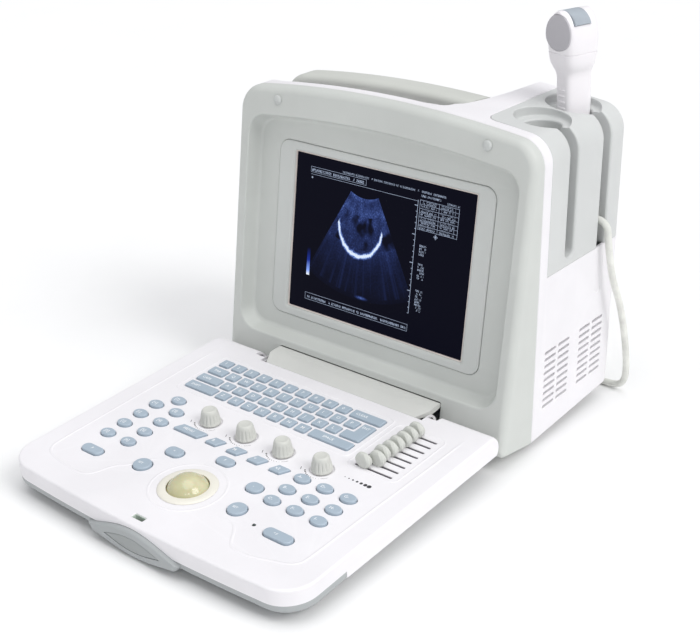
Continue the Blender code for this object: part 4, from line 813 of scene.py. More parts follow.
# ------------------------------------------------------------------ screen
rings = [[(x, y, d) for x, y in rounded_rect(-124.7 + i, -87.7 + i, 124.7 - i, 87.7 - i, 11.7 - i, 8)]
         for d, i in [(-1.8, 0), (-0.3, 0)] + [(-0.3 + 1.1 * math.sin(a), 1.1 * (1 - math.cos(a))) for a in quarter(4)[1:]]]
screen_frame = loft("screen_surround", rings, SCREEN)
rings = []
for d, hw, hh, r in ((-5, 105.6, 79.2, 1.2), (-1.1, 105.6, 79.2, 1.2), (-0.5, 105.75, 79.35, 1.3), (0.1, 106.4, 80.0, 1.9),
                     (0.5, 107.2, 80.8, 2.6), (0.74, 108.2, 81.8, 3.4), (1.1, 110.4, 84.0, 5.0)):
    rings.append([(x, y, d) for x, y in rounded_rect(-hw, -hh, hw, hh, r, 5)])
boolean(screen_frame, loft("c6", rings, SCREEN))
finish(screen_frame, FRAME_GREY, nodes="screen_frame")

gasket = loft("screen_gasket", [[(x, y, d) for x, y in rounded_rect(-hw, -hh, hw, hh, 1.2, 5)] for d, hw, hh in
                                ((-2.05, 105.5, 79.1), (-1.25, 105.5, 79.1), (-0.95, 105.2, 78.8), (-1.05, 104.6, 78.2),
                                 (-1.9, 104.4, 78.0), (-2.05, 104.4, 78.0))], SCREEN, closed=True)
finish(gasket, GASKET)

bm = bmesh.new()
add_box(bm, (-109, -82.5, -10), (109, 82.5, -2.1))
bmesh.ops.recalc_face_normals(bm, faces=bm.faces)
mesh = bpy.data.meshes.new("lcd_panel")
bm.to_mesh(mesh)
bm.free()
mesh.transform(MM)
lcd = bpy.data.objects.new("lcd_panel", mesh)
SCENE.collection.objects.link(lcd)
lcd.matrix_world = SCREEN
bevel(lcd, 0.8, 3)
finish(lcd, LCD, nodes="lcd_screen")


# ------------------------------------------------------------------ white housing
def housing_outer(name):
    rings = [flat_ring(BEZEL_BACK_Y + 0.6, 0.7), flat_ring(BEZEL_BACK_Y + 1.2, 0.1), flat_ring(BEZEL_BACK_Y + 1.8, 0.0),
             flat_ring(130, 0.0), flat_ring(198, 0.0)]
    rings += [flat_ring(198 + 10 * math.sin(a), 7.5 * (1 - math.cos(a))) for a in quarter(8)[1:]]
    return loft(name, rings)


def tower_plan(grow):
    y0 = 79.5 - grow
    pts = [(-190, y0)]
    pts += [(46 + 10 * math.sin(a) + grow * 0.9, y0 + 12 - 12 * math.cos(a)) for a in [1.5 * k / 10 for k in range(11)]]
    side = catmull([(56.0, 90.6, 0), (63, 100, 0), (70.9, 138, 0), (76, 200, 0), (76, 230, 0)], 6)
    pts += [(p.x + grow, p.y) for p in side[3:]]
    pts += [(-190, 230)]
    return pts


def on_arch(plan, t, low=None):
    """Plan outline lifted to the arch less t; outside the casing it follows the side's height."""
    out = []
    for x, y in plan:
        z = arch_z(max(-160, min(160, x))) - t
        out.append((x, y, z))
    return out


housing = housing_outer("white_housing")
c_cavity = loft("c7", [flat_ring(55, 3.0, corner_n=5, arch_n=8), flat_ring(222, 3.0, corner_n=5, arch_n=8)])
boolean(c_cavity, prism("c8", [(x, y) for x, y in tower_plan(3.0)], "Z", DECK_Z - 3, 330))
rings = []
for a in quarter(4):
    rings.append([(x, y, DECK_Z + 4 * (1 - math.cos(a))) for x, y in tower_plan(-4 * (1 - math.sin(a)))])
EDGE = 2.6
for k in range(6):
    a = math.radians(78 * k / 5)
    rings.append(on_arch(tower_plan(EDGE * (1 - math.cos(a))), EDGE * (1 - math.sin(a))))
rings.append(on_arch(tower_plan(EDGE + 2.6), -0.5))
rings.append([(x, y, 345) for x, y in tower_plan(EDGE + 2.6)])
c_deck = loft("c9", rings)


def insert_plan(grow, n=14):
    x0, y0 = INSERT[0] - grow, INSERT[1] - grow
    r = 13.0 + grow
    return arc(x0 + r, y0 + r, r, 180, 270, n) + [(190, y0), (190, 230), (x0, 230)]


c_pocket = loft("c10", [[(x, y, INSERT[2] - GAP) for x, y in insert_plan(GAP)], on_arch(insert_plan(GAP), 1.0),
                        on_arch(insert_plan(GAP + 0.35), 0.35), on_arch(insert_plan(GAP + 1.3), -0.4),
                        [(x, y, 345) for x, y in insert_plan(GAP + 1.3)]])
# painted shade: a black sheet just inside the side wall stands in for the shade inside the vent slots
vent_shade_sheet = loft("vent_painted_shade_sheet", [[(x, y, z) for y, z in rounded_rect(78.5 + g, 29.0 + g, 188.5 - g, 93.5 - g, 2.0, 3)]
                                      for x, g in ((163.55, 0.5), (163.7, 0.0), (164.5, 0.0), (164.7, 0.2))])
finish(vent_shade_sheet, BLACK)
c_under = box("c11", (-160, 50, -20), (160, 202, 16))
bm = bmesh.new()
for y0 in (81.0, 142.5):
    for col in range(2):
        for row in range(9):
            ya, z = y0 + col * 23.5, 89.0 - row * 6.85
            slot = lambda g: rounded_rect(ya - g, z - 1.45 - g, ya + 19.8 + g, z + 1.45 + g, 1.0 + g, 3)
            add_loft(bm, [[(160, y, zz) for y, zz in slot(0)], [(167.5, y, zz) for y, zz in slot(0)],
                          [(167.85, y, zz) for y, zz in slot(0.15)], [(168.4, y, zz) for y, zz in slot(0.7)],
                          [(172, y, zz) for y, zz in slot(0.7)]])
c_vents = to_object("c12", bm)
# shallow channel below the rear cable slot
ring = lambda g: rounded_rect(SLOT_Y[1] - 7.0 - g, 118 - g, SLOT_Y[1] + 7.0 + g, 185, 6.4 + g, 6)
c_chan = loft("c13", [[(167.1, y, z) for y, z in ring(-0.9)], [(167.3, y, z) for y, z in ring(-0.45)],
                      [(167.75, y, z) for y, z in ring(0.1)], [(168.3, y, z) for y, z in ring(1.5)],
                      [(172, y, z) for y, z in ring(1.5)]])
boolean(housing, c_cavity, c_deck, c_pocket, c_under, c_vents)
boolean(housing, c_chan)
finish(housing, WHITE, nodes="main_housing")

# ------------------------------------------------------------------ probe holder
holder = housing_outer("holder_insert")
c_plan = loft("c14", [[(x, y, INSERT[2]) for x, y in insert_plan(-0.7)], [(x, y, INSERT[2] + 0.7) for x, y in insert_plan(0.0)],
                      on_arch(insert_plan(0.0), 1.0), on_arch(insert_plan(-0.35), 0.35), on_arch(insert_plan(-1.2), -0.35),
                      [(x, y, 345) for x, y in insert_plan(-1.2)]])
boolean(holder, c_plan, how="INTERSECT")
c_inner = loft("c15", [[(x, y, z) for x, z in arch_outline(10.0, floor_z(y), corner_n=5, arch_n=8)] for y in (81.0, 204.6)])
bm = bmesh.new()
for cy in CUP_Y:
    add_loft(bm, prism_rings(ellipse(CUP_X, cy, CUP_R + 3, CUP_R + 3, 32), "Z", CUP_FLOOR - 3, 320))
k1 = to_object("c16", bm)
bm = bmesh.new()
for sy in SLOT_Y:
    add_box(bm, (CUP_X + 4, sy - 10, 163.0), (190, sy + 10, 320))
k2 = to_object("c17", bm)
boolean(c_inner, k1, k2)
boolean(holder, c_inner)
bm = bmesh.new()
for cy in CUP_Y:
    n = 72
    circ = lambda r: ellipse(CUP_X, cy, r, r, n)
    rings = [[(x, y, CUP_FLOOR + 3 * (1 - math.cos(a))) for x, y in circ(CUP_R - 3 * (1 - math.sin(a)))] for a in quarter(4)]
    rings += [[(x, y, DISH_Z - 2.0 + 2.0 * math.sin(a)) for x, y in circ(CUP_R + 2.0 * (1 - math.cos(a)))]
              for a in [math.radians(84 * k / 5) for k in range(6)]]
    rings += [[(x, y, DISH_Z + 0.1 + 2.0 * (1 - math.cos(a))) for x, y in circ(DISH_R - 2.0 * (1 - math.sin(a)))]
              for a in quarter(4)]
    for k in range(5):
        a = math.radians(80 * k / 4)
        rings.append([(x, y, arch_z(x) - 1.2 + 1.2 * math.sin(a)) if arch_z(x) > 0 else None
                      for x, y in circ(DISH_R + 1.0 * (1 - math.cos(a)))])
    rings.append([(x, y, arch_z(x) + 0.8) for x, y in circ(DISH_R + 1.15)])
    rings.append([(x, y, 345) for x, y in circ(DISH_R + 1.15)])
    add_loft(bm, rings)
c_cups = to_object("c18", bm)
boolean(holder, c_cups)
for k, sy in enumerate(SLOT_Y):
    bottom = (173.0, 150.0)[k]
    R = 2.4

    def slot_path(g):
        """(y, z) of the slot's outline, its sides sampled so that they can follow the rounded corner."""
        hw = 7.0 + g
        pts = arc(sy, bottom + 7.0, hw, 180, 360, 14)
        zs = [185, 200, 220, 240, 255, 264, 268, 271, 274, 277, 280, 283, 286, 289, 292, 296, 325]
        return pts + [(sy + hw, z) for z in zs] + [(sy - hw, z) for z in reversed(zs)]
    rings = [[(CUP_X + 6, y, z) for y, z in slot_path(0)], [(150, y, z) for y, z in slot_path(0)]]
    for a in [math.radians(80 * k2 / 5) for k2 in range(6)]:
        g = R * (1 - math.cos(a))
        rings.append([(side_x(z) - R + R * math.sin(a), y, z) for y, z in slot_path(g)])
    rings.append([(side_x(z) + 1.0, y, z) for y, z in slot_path(R + 4)])
    rings.append([(188, y, z) for y, z in slot_path(R + 4)])
    boolean(holder, loft("c19", rings))
finish(holder, HOLDER, nodes="probe_holder")


# ------------------------------------------------------------------ carry handle
def handle_ring(y, inset):
    xe = 63 + (y - 100) * 0.21 - GAP
    w, r, lean = BODY_HALF_W - 8.0, ARCH_R + 5.0, 6.5
    ex = w - r + r * math.sin(math.radians(lean))
    top = lambda x: arch_z(x) - 0.5 - inset
    pts = [(-w + inset * 0.5, DECK_Z + GAP)]
    ri = r - inset
    zc = top(ex) - ri * math.cos(math.radians(lean))
    pts += [(-(w - r) - ri * math.cos(math.radians(a)), zc + ri * math.sin(math.radians(a)))
            for a in [83 * k / 14 for k in range(15)]]
    for i in range(1, 24):
        x = -ex + (xe + ex) * i / 24
        pts.append((x, top(x)))
    pts.append((xe, top(xe)))
    low = lambda x: arch_z(x) - 22.5 + inset
    pts.append((xe, low(xe)))
    for i in range(1, 18):
        x = xe + (-132 - xe) * i / 18
        pts.append((x, low(x)))
    corner = catmull([(-127, low(-127), 0), (-132, low(-132) - 0.2, 0), (-141 - inset * 0.5, low(-138) - 3, 0),
                      (-145 - inset, low(-138) - 10, 0), (-146 - inset, DECK_Z + GAP, 0)], 6)[6:]
    pts += [(p.x, p.y) for p in corner]
    return [(x, y, z) for x, z in pts]


rings = [handle_ring(104 + 8 * (1 - math.cos(a)), 6.5 * (1 - math.sin(a))) for a in quarter(8)]
rings += [handle_ring(120, 0)]
rings += [handle_ring(126.6 + 8 * math.sin(a), 6.2 * (1 - math.cos(a))) for a in quarter(8)]
finish(loft("handle_bar", rings), HANDLE, nodes="carry_handle")


# ------------------------------------------------------------------ control panel: cover
def panel_outline(inset, v_rear, corner_n=14, front_n=40, rear_r=4.0):
    w = KB_HALF_W - inset
    r = KB_CORNER - inset
    front = lambda u: KB_FRONT - inset - u * u / 4600.0
    vc = front(w - r) - r
    rr = min(rear_r, r)
    left = [(-w + r + r * math.cos(math.radians(a)), -vc + r * math.sin(math.radians(a)))
            for a in [180 + 86.5 * i / corner_n for i in range(corner_n + 1)]]
    pts = list(left)
    ex = w - r - r * math.sin(math.radians(3.5))
    for i in range(1, front_n):
        u = -ex + 2 * ex * i / front_n
        pts.append((u, -front(u)))
    pts += [(-x, y) for x, y in reversed(left)]
    yr = -v_rear
    pts += arc(w - rr, yr - rr, rr, 0, 90, 5)
    pts += arc(-w + rr, yr - rr, rr, 90, 180, 5)
    return pts


def rear_v(h):
    d = h - HINGE_H
    return HINGE_V - math.sqrt(max(HINGE_R ** 2 - d * d, 0.0))


def panel_ring(h, inset, **kw):
    return [(x, y, h) for x, y in panel_outline(inset, rear_v(h) + inset, **kw)]


def swell(grow, front, inset=0.0, n=36):
    pts = []
    for i in range(n + 1):
        t = -1 + 2 * i / n
        pts.append((t * (54 + grow - inset), -17.6 + (12.8 + grow - inset) * (max(math.cos(t * math.pi / 2), 0) ** 1.3)))
    for i in range(n + 1):
        t = 1 - 2 * i / n
        pts.append((t * (50 + grow - inset), -23.5 - (8.6 + grow - inset) * (max(math.cos(t * math.pi / 2), 0) ** 1.1)))
    return [(u, -front, h) for u, h in pts]


cover = loft("panel_cover", [panel_ring(-2.0 * (1 - math.cos(a)), 2.2 * (1 - math.sin(a))) for a in quarter(8)]
             + [panel_ring(h, 0.0) for h in (-6, -8.5, -11, -13.3, -15.5, -17.5, -19.4, -20.3)], PANEL)
low = dict(corner_n=5, front_n=8)
c_in = loft("d1", [panel_ring(-2.6, 6.0, **low), panel_ring(-5.0, 2.9, **low), panel_ring(-9.0, 2.8, **low),
                   panel_ring(-13.3, 2.8, **low), panel_ring(-17.5, 2.8, **low), panel_ring(-21.5, 2.8, **low)], PANEL)
c_skirt = prism("d2", [(-207, -14.0), (-207, -40), (-300, -40), (-300, -16.4), (-262, -14.9)], "X", -190, 190, PANEL)
c_sw = loft("d3", [swell(0.4, 176), swell(0.4, 300)], PANEL)
boolean(cover, c_in, c_skirt, c_sw)


def to_xy(uv):
    return ccw([(u, -v) for u, v in uv])


def polygon(uv, r, rc=0.8, n=4):
    """Shape function: grows with g and keeps its rounded corners."""
    base = to_xy(uv)
    return lambda g: rounded(grown(base, g), max(r + g, 0.2), max(rc - g, 0.1), n)


def rect(u0, v0, u1, v1):
    return [(u0, v0), (u1, v0), (u1, v1), (u0, v1)]


def oval(u, v, hu, hv, n=40):
    return lambda g: ellipse(u, -v, hu + g, hv + g, n)


def stadium(u, v, hu, hv, r, n=7):
    return lambda g: rounded_rect(u - hu - g, -v - hv - g, u + hu + g, -v + hv + g, r + g, n)


def qwerty():
    """(outline, label) of the 42 typewriter keys."""
    w, d = 6.2, 5.75
    out = []
    rows = (38.4, 54.0, 69.7, 85.2)
    for i, c in enumerate("1234567890"):
        u = -118.9 + i * (29.3 + 118.9) / 9
        out.append((rect(u - w, rows[0] - d, u + w, rows[0] + d), c))
    out.append((rect(39.5, rows[0] - d, 75.1, rows[0] + d), "CLEAR"))
    out.append((rect(-125.2, rows[1] - d, -105.7, rows[1] + d), "TAB"))
    for i, c in enumerate("QWERTYUIOP"):
        u = -95.6 + i * (51.5 + 95.6) / 9
        out.append((rect(u - w, rows[1] - d, u + w, rows[1] + d), c))
    out.append(([(61.7, rows[1] - d), (75.1, rows[1] - d), (75.1, rows[2] + d), (53.1, rows[2] + d),
                 (53.1, rows[2] - d), (61.7, rows[2] - d)], "ENT"))
    out.append((rect(-125.2, rows[2] - d, -98.1, rows[2] + d), "CAPS"))
    for i, c in enumerate("ASDFGHJKL"):
        u = -87.9 + i * (42.9 + 87.9) / 8
        out.append((rect(u - w, rows[2] - d, u + w, rows[2] + d), c))
    out.append((rect(-125.2, rows[3] - d, -89.5, rows[3] + d), "SHIFT"))
    for i, c in enumerate("ZXCVBNM"):
        u = -79.3 + i * (19.4 + 79.3) / 6
        out.append((rect(u - w, rows[3] - d, u + w, rows[3] + d), c))
    out.append((rect(29.6, rows[3] - d, 75.1, rows[3] + d), "SPACE"))
    return out


def para(u, half, v0=141.6, v1=153.2):
    return [(u - half - 2.6, v1), (u - half + 2.6, v0), (u + half + 2.6, v0), (u + half - 2.6, v1)]


GROUPS = {  # keypad: [(shape, top height, label, label u, label v, size)]
    "qwerty_keypad": [], "left_keypad": [], "soft_keypad": [], "right_keypad": []}
for outline, label in qwerty():
    us, vs = [p[0] for p in outline], [p[1] for p in outline]
    wide = max(us) - min(us) > 16
    lu = min(us) + (4.6 if not wide else 5.0)
    if label == "SPACE":
        lu = 43.5
    if label == "ENT":
        lu = 63.8
    GROUPS["qwerty_keypad"].append((polygon(outline, 1.5), 1.7, label, lu, min(vs) + 7.6, 5.2 if not wide else 4.4))
marks = ["[+]", "[-]", "[1]", "[2]", "[3]", "[4]", "[5]", "[6]", "[7]"]
ovals = [(u, v) for u in (-120.8, -94.2) for v in (132, 152, 172, 192)] + [(-107.7, 115.7)]
for (u, v), c in zip(ovals, marks):
    GROUPS["left_keypad"].append((oval(u, v, 7.7, 5.9), 2.2, c, u - 3.9, v + 1.6, 4.6))
for (u, half), c in zip(((-60.5, 15.5), (-29.0, 7.0), (-3.6, 7.0), (21.3, 7.0), (46.7, 7.0)), ("MENU", "B", "M", "+", "x2")):
    GROUPS["soft_keypad"].append((polygon(para(u, half - 0.4, 142.1, 152.8), 1.3), 1.8, c, u - half * 0.55, 149.0, 4.8))
for k, (u, v) in enumerate([(u, v) for u in (71.8, 96.8, 121.8) for v in (146.6, 165.7, 184.7)]):
    GROUPS["right_keypad"].append((oval(u, v, 7.9, 6.0), 2.2, ("ABCDEFGHI"[k]) + "-", u - 3.9, v + 1.6, 4.6))
KEYS = {
    "print_key": (-111.0, 219.0, 12.0, 5.6, 5.5, "P"), "set_key_left": (-56.6, 210.0, 8.7, 8.7, 8.6, "SET"),
    "set_key_right": (56.5, 210.5, 8.7, 8.7, 8.6, "SET"), "depth_key_left": (-47.3, 180.0, 9.4, 6.6, 6.4, "+"),
    "depth_key_right": (47.6, 179.7, 8.2, 6.8, 6.6, "-"), "menu_key": (0.0, 165.0, 9.4, 5.8, 5.6, "F"),
    "freeze_key": (108.5, 218.4, 14.6, 5.8, 5.7, "* F"),
}


def add_opening(bm, shape, clear=0.5, R=0.75, lo=-6.0):
    """Cutter for an opening whose upper edge is rounded over by R."""
    rings = [[(x, y, lo) for x, y in shape(clear)]]
    for k in range(5):
        a = math.radians(82 * k / 4)
        rings.append([(x, y, -R + R * math.sin(a)) for x, y in shape(clear + R * (1 - math.cos(a)))])
    rings.append([(x, y, 0.6) for x, y in shape(clear + R + 3.4)])
    # the flare above the surface is cut off so that neighbouring openings stay apart
    rings[-1] = [(x, y, 0.05) for x, y in shape(clear + R * 1.02)]
    rings.append([(x, y, 3.0) for x, y in shape(clear + R * 1.02)])
    add_loft(bm, rings)


bm = bmesh.new()
for group in GROUPS.values():
    for shape, *_ in group:
        add_opening(bm, shape, 0.42, 0.7)
for u, v, hu, hv, r, _ in KEYS.values():
    add_opening(bm, stadium(u, v, hu, hv, r), 0.42, 0.8)
for v in SLIDER_V:
    add_opening(bm, polygon(rect(SLOT_U[0], v - 1.2, SLOT_U[1], v + 1.2), 1.15), 0.0, 0.55)
add_opening(bm, oval(BALL[0], BALL[1], 24.8, 24.8, 72), 0.0, 0.5)
add_opening(bm, oval(82.0, 218.0, 1.7, 1.7, 20), 0.0, 0.3)
add_opening(bm, polygon(rect(-8.5, 262.3, 4.5, 268.0), 1.0), 0.0, 0.7)
c_open = to_object("d4", bm, PANEL)
bm = bmesh.new()
for u in KNOB_U:        # shallow well round each knob with the shaft's hole in it
    circ = lambda r: ellipse(u, -KNOB_V, r, r, 56)
    rings = [[(x, y, -6) for x, y in circ(3.8)], [(x, y, -1.3) for x, y in circ(3.8)],
             [(x, y, -1.29) for x, y in circ(10.2)], [(x, y, -0.9) for x, y in circ(10.7)]]
    rings += [[(x, y, -0.9 + 0.9 * math.sin(a)) for x, y in circ(10.75 + 1.0 * (1 - math.cos(a)))]
              for a in [math.radians(80 * k / 4) for k in range(5)]]
    rings.append([(x, y, 3) for x, y in circ(11.7)])
    add_loft(bm, rings)
c_knobs = to_object("d5", bm, PANEL)
c_notch = box("d6", (-98.3, -12.3, -40), (98.3, 30, 12), PANEL)
ARM_U = (99.6, 109.6)
bm = bmesh.new()
for sx in (-1, 1):
    u0, u1 = sorted((sx * (ARM_U[0] - 0.8), sx * (ARM_U[1] + 0.8)))
    ring = [(-HINGE_V + 15.6 * math.cos(a), HINGE_H + 15.6 * math.sin(a)) for a in
            [math.radians(-125 + 222 * i / 16) for i in range(17)]]
    ring += [(-HINGE_V - 1.9, HINGE_H + 9.5), (-HINGE_V - 9.4, HINGE_H + 9.0), (-HINGE_V - 9.4, HINGE_H - 12)]
    add_loft(bm, [[(u0, y, z) for y, z in ring], [(u1, y, z) for y, z in ring]])
c_arms = to_object("d7", bm, PANEL)
arms_mesh = c_arms.data.copy()
boolean(cover, c_open)
boolean(cover, c_knobs, c_notch, c_arms)
finish(cover, PANEL_WHITE, "control_panel", "keyboard_top_cover")

# soft raised lines on the cover


def bead(bm, path, width, height, closed=False, taper=6):
    """Low rounded ridge along a path of (u, v) points."""
    pts = [Vector((u, -v, 0)) for u, v in path]
    n = len(pts)
    rings = []
    for i, p in enumerate(pts):
        a, b = (pts[i - 1], pts[(i + 1) % n]) if closed else (pts[max(i - 1, 0)], pts[min(i + 1, n - 1)])
        t = (b - a).normalized()
        s = Vector((-t.y, t.x, 0))
        k = 1.0 if closed else min(1.0, (i + 0.35) / taper, (n - 1 - i + 0.35) / taper)
        ring = []
        for j in range(9):
            q = -1 + 2 * j / 8
            ring.append(tuple(p + s * (q * width / 2) + Vector((0, 0, height * k * (1 - q * q) ** 1.2 + 0.01))))
        ring += [tuple(p + s * (width * 0.4) + Vector((0, 0, -0.35))), tuple(p - s * (width * 0.4) + Vector((0, 0, -0.35)))]
        rings.append(ring)
    add_loft(bm, rings, cap=not closed, closed=closed)


def flat(points, per=8, step=2.0):
    return [(p.x, p.y) for p in resample(catmull([(u, v, 0) for u, v in points], per), step)]


bm = bmesh.new()
bead(bm, flat([(-149.5, 16), (-149, 60), (-148.5, 120), (-148.1, 180), (-147.6, 222), (-145.6, 236), (-138, 243.6),
               (-124, 247.4), (-106, 249.8), (-94, 249.9), (-86, 246.8), (-81.6, 240.5), (-78.4, 231), (-74, 223.5),
               (-66, 215.5), (-55, 198), (-44, 193.5)]), 3.0, 0.42, taper=10)
bead(bm, flat([(149.9, 16), (149.4, 60), (148.3, 110), (147.2, 150), (146.4, 200), (145.8, 224), (143.8, 234), (137, 240),
               (125, 244.2), (106, 250.2), (94, 250.8), (86, 248.9), (80.8, 243.0), (75, 234.5), (67, 226.5),
               (56, 226), (46, 224)]), 3.0, 0.42, taper=10)
loop = lambda u0, v0, u1, v1, r: [(p.x, p.y) for p in resample(
    [Vector((x, y, 0)) for x, y in rounded_rect(u0, v0, u1, v1, r, 6) + [(u0, v0 + r)]], 2.0)][:-1]
bead(bm, loop(86.0, 28.6, 139.0, 106.5, 6.0), 2.2, 0.34, closed=True)
bead(bm, loop(-131.2, 26.4, 80.4, 97.6, 5.0), 2.2, 0.34, closed=True)
bead(bm, ellipse(BALL[0], BALL[1], 34.0, 34.0, 96), 2.6, 0.34, closed=True)
finish(to_object("panel_ridges", bm, PANEL), PANEL_WHITE, "control_panel", angle=60, tidy=False)

# printed scale marks


def add_dot(bm, u, v, r, n=14, h=0.03):
    ring = ellipse(u, -v, r, r, n)
    add_loft(bm, prism_rings(ring, "Z", -0.05, h))


def add_stroke(bm, pts, w, h=0.03):
    """Flat printed line along (u, v) points."""
    vs = [Vector((u, -v, 0)) for u, v in pts]
    rings = []
    for i, p in enumerate(vs):
        t = (vs[min(i + 1, len(vs) - 1)] - vs[max(i - 1, 0)]).normalized()
        s = Vector((-t.y, t.x, 0)) * (w(i / (len(vs) - 1)) if callable(w) else w) / 2
        rings.append([tuple(p + s + Vector((0, 0, -0.05))), tuple(p + s + Vector((0, 0, h))),
                      tuple(p - s + Vector((0, 0, h))), tuple(p - s + Vector((0, 0, -0.05)))])
    add_loft(bm, rings)


bm = bmesh.new()
for k, (u, r) in enumerate(zip((98.8, 103.1, 107.4, 111.8, 116.2, 120.6, 124.6), (0.5, 0.7, 0.95, 1.2, 1.5, 1.8, 2.1))):
    add_dot(bm, u, 122.4, r, 16)
for u in KNOB_U:
    for k in range(9):
        a = math.radians(62 + 78 * k / 8)
        add_dot(bm, u + 14.6 * math.cos(a), KNOB_V + 14.6 * math.sin(a), 0.22 + 0.075 * k)
    add_stroke(bm, [(u + 14.4 * math.cos(math.radians(a)), KNOB_V + 14.4 * math.sin(math.radians(a)))
                    for a in range(30, 60, 5)], 0.3)
    add_stroke(bm, [(u + 18.5 * math.cos(math.radians(a)), KNOB_V + 18.5 * math.sin(math.radians(a)))
                    for a in range(146, 160, 4)], 0.5)
finish(to_object("panel_scale_marks", bm, PANEL), INK_DARK, "control_panel", tidy=False)

# grey slot lining under the sliders and green lining of the latch slot
bm = bmesh.new()
for v in SLIDER_V:
    s = polygon(rect(SLOT_U[0], v - 1.2, SLOT_U[1], v + 1.2), 1.15)
    add_loft(bm, [[(x, y, h) for x, y in s(g)] for h, g in ((-2.5, 1.2), (-2.5, -0.12), (-0.75, -0.12), (-0.75, 0.02), (-2.2, 0.02), (-2.2, 1.2))],
             closed=True)
finish(to_object("slider_slot_linings", bm, PANEL), plastic("lining_mauve", lin(150, 144, 152), 0.5), "control_panel",
       tidy=False)
bm = bmesh.new()
s = polygon(rect(-8.5, 262.3, 4.5, 268.0), 1.0)
add_loft(bm, [[(x, y, h) for x, y in s(g)] for h, g in ((-6.2, -0.05), (-6.2, -0.7), (-1.0, -0.7), (-0.8, -0.5), (-0.8, -0.05))],
         closed=True)
finish(to_object("latch_slot_lining", bm, PANEL), LATCH, "control_panel", tidy=False)

# ------------------------------------------------------------------ hinge tongue
prof = catmull([(-12.0, -0.4, 0), (-11.6, 0.1, 0), (-10.4, 0.35, 0), (-6, 1.0, 0), (-1, 1.9, 0), (2.6, 2.6, 0), (6.5, 3.0, 0), (12, 3.0, 0), (16.6, 2.7, 0),
                (18.2, 2.3, 0), (18.7, 1.2, 0), (18.7, -0.2, 0), (17.6, -1.4, 0), (12, -2.4, 0), (0, -2.6, 0),
                (-10.8, -2.6, 0), (-11.8, -2.0, 0), (-12.0, -0.4, 0)], 5)[:-1]
tongue = prism("tongue_cover", [(p.x, p.y) for p in prof], "X", -97.8, 97.8, PANEL)
plan = rounded(ccw([(-90.5, -12.4), (90.5, -12.4), (98.0, 2.0), (98.0, 19.5), (-98.0, 19.5), (-98.0, 2.0)]), 1.6, n=5)
boolean(tongue, prism("d8", plan, "Z", -8, 8, PANEL), how="INTERSECT")
bevel(tongue, 0.35, 3, 45)
finish(tongue, TONGUE, "control_panel", "hinge_cover", angle=40)

# ------------------------------------------------------------------ bottom cover with its grip
rings = [panel_ring(-10, 0.3), panel_ring(-17, 0.3), panel_ring(-19.6, 0.4), panel_ring(-21.2, 0.9), panel_ring(-22.4, 1.9),
         panel_ring(-23.8, 4.2), panel_ring(-25.5, 8.0)]
band = loft("panel_base_cover", rings, PANEL)
boolean(band, prism("d9", [(-207.3, -14.3), (-262, -15.2), (-290, -16.3), (-290, -25.2), (-262, -24.6), (-207.3, -19.6)],
                    "X", -190, 190, PANEL), how="INTERSECT")
boolean(band, loft("d10", [[(x, y, h) for x, y in panel_outline(3.0, 4.6, 6, 10)] for h in (-18.0, -20.2)], PANEL), how="UNION")
rings = [swell(0, 184), swell(0, 272)] + [swell(0, 275.2 + 4.0 * math.sin(a), 3.4 * (1 - math.cos(a))) for a in quarter(6)]
boolean(band, loft("d11", rings, PANEL), how="UNION")
c_bin = loft("d12", [[(x, y, h) for x, y in panel_outline(6.0, 7.5, 6, 10)] for h in (-18.2, -2.0)], PANEL)
bm = bmesh.new()
R2 = BALL_R + 1.8
add_loft(bm, [[(BALL[0] + R2 * math.cos(a) * math.cos(e), -BALL[1] + R2 * math.sin(a) * math.cos(e), BALL[2] - R2 * math.sin(e))
               for a in [2 * math.pi * k / 48 for k in range(48)]] for e in (1.45, 1.25, 1.05, 0.85, 0.65, 0.45, 0.2, 0.0)]
         + [[(BALL[0] + R2 * math.cos(a), -BALL[1] + R2 * math.sin(a), 5) for a in [2 * math.pi * k / 48 for k in range(48)]]])
c_well = to_object("d13", bm, PANEL)
c_arms = bpy.data.objects.new("d14", arms_mesh)
SCENE.collection.objects.link(c_arms)


def lens(front, k=1.0, n=28):
    pts = []
    for i in range(n + 1):
        t = -1 + 2 * i / n
        pts.append((t * 33 * k, -19.8 + 7.6 * k * max(math.cos(t * math.pi / 2), 0)))
    for i in range(1, n):
        t = 1 - 2 * i / n
        pts.append((t * 33 * k, -19.8 - 5.8 * k * max(math.cos(t * math.pi / 2), 0)))
    return [(u, -front, h) for u, h in pts]


c_lens = loft("d15", [lens(277.2, 1.0), lens(279.0, 1.01), lens(281, 1.06)], PANEL)
boolean(band, c_bin, c_well, c_arms)
boolean(band, c_lens)
finish(band, DARKGREY, "control_panel", "keyboard_bottom_cover")
inset = loft("grip_inset", [lens(276.0, 0.9), lens(277.3, 0.985), lens(278.4, 0.975), lens(278.9, 0.93), lens(279.1, 0.82)], PANEL)
finish(inset, LENS_INSET, "control_panel", angle=50)

# hinge arms: moulded knuckles on the casing that carry the pins
for side, sx in (("left", -1), ("right", 1)):
    a0, a1 = sorted((sx * ARM_U[0], sx * ARM_U[1]))
    hy = -HINGE_V * math.cos(KEY_TILT) - HINGE_H * math.sin(KEY_TILT)
    hz = KEY_Z0 - HINGE_V * math.sin(KEY_TILT) + HINGE_H * math.cos(KEY_TILT)
    ring = [(hy + 8.0 * math.cos(math.radians(a)), hz + 8.0 * math.sin(math.radians(a))) for a in range(0, 265, 8)]
    ring += [(face_y(hz - 8.5) - GAP, hz - 8.5), (face_y(hz - 3.8) - GAP, hz - 3.8)]
    arm = prism("hinge_knuckle_" + side, ring, "X", a0, a1)
    bore = [(hy + 3.4 * math.cos(2 * math.pi * k / 32), hz + 3.4 * math.sin(2 * math.pi * k / 32)) for k in range(32)]
    boolean(arm, prism("g9", bore, "X", a0 - 5, a1 + 5))
    bevel(arm, 0.4, 2, 50)
    finish(arm, PANEL_WHITE, "root", "hinge_arm_" + side)


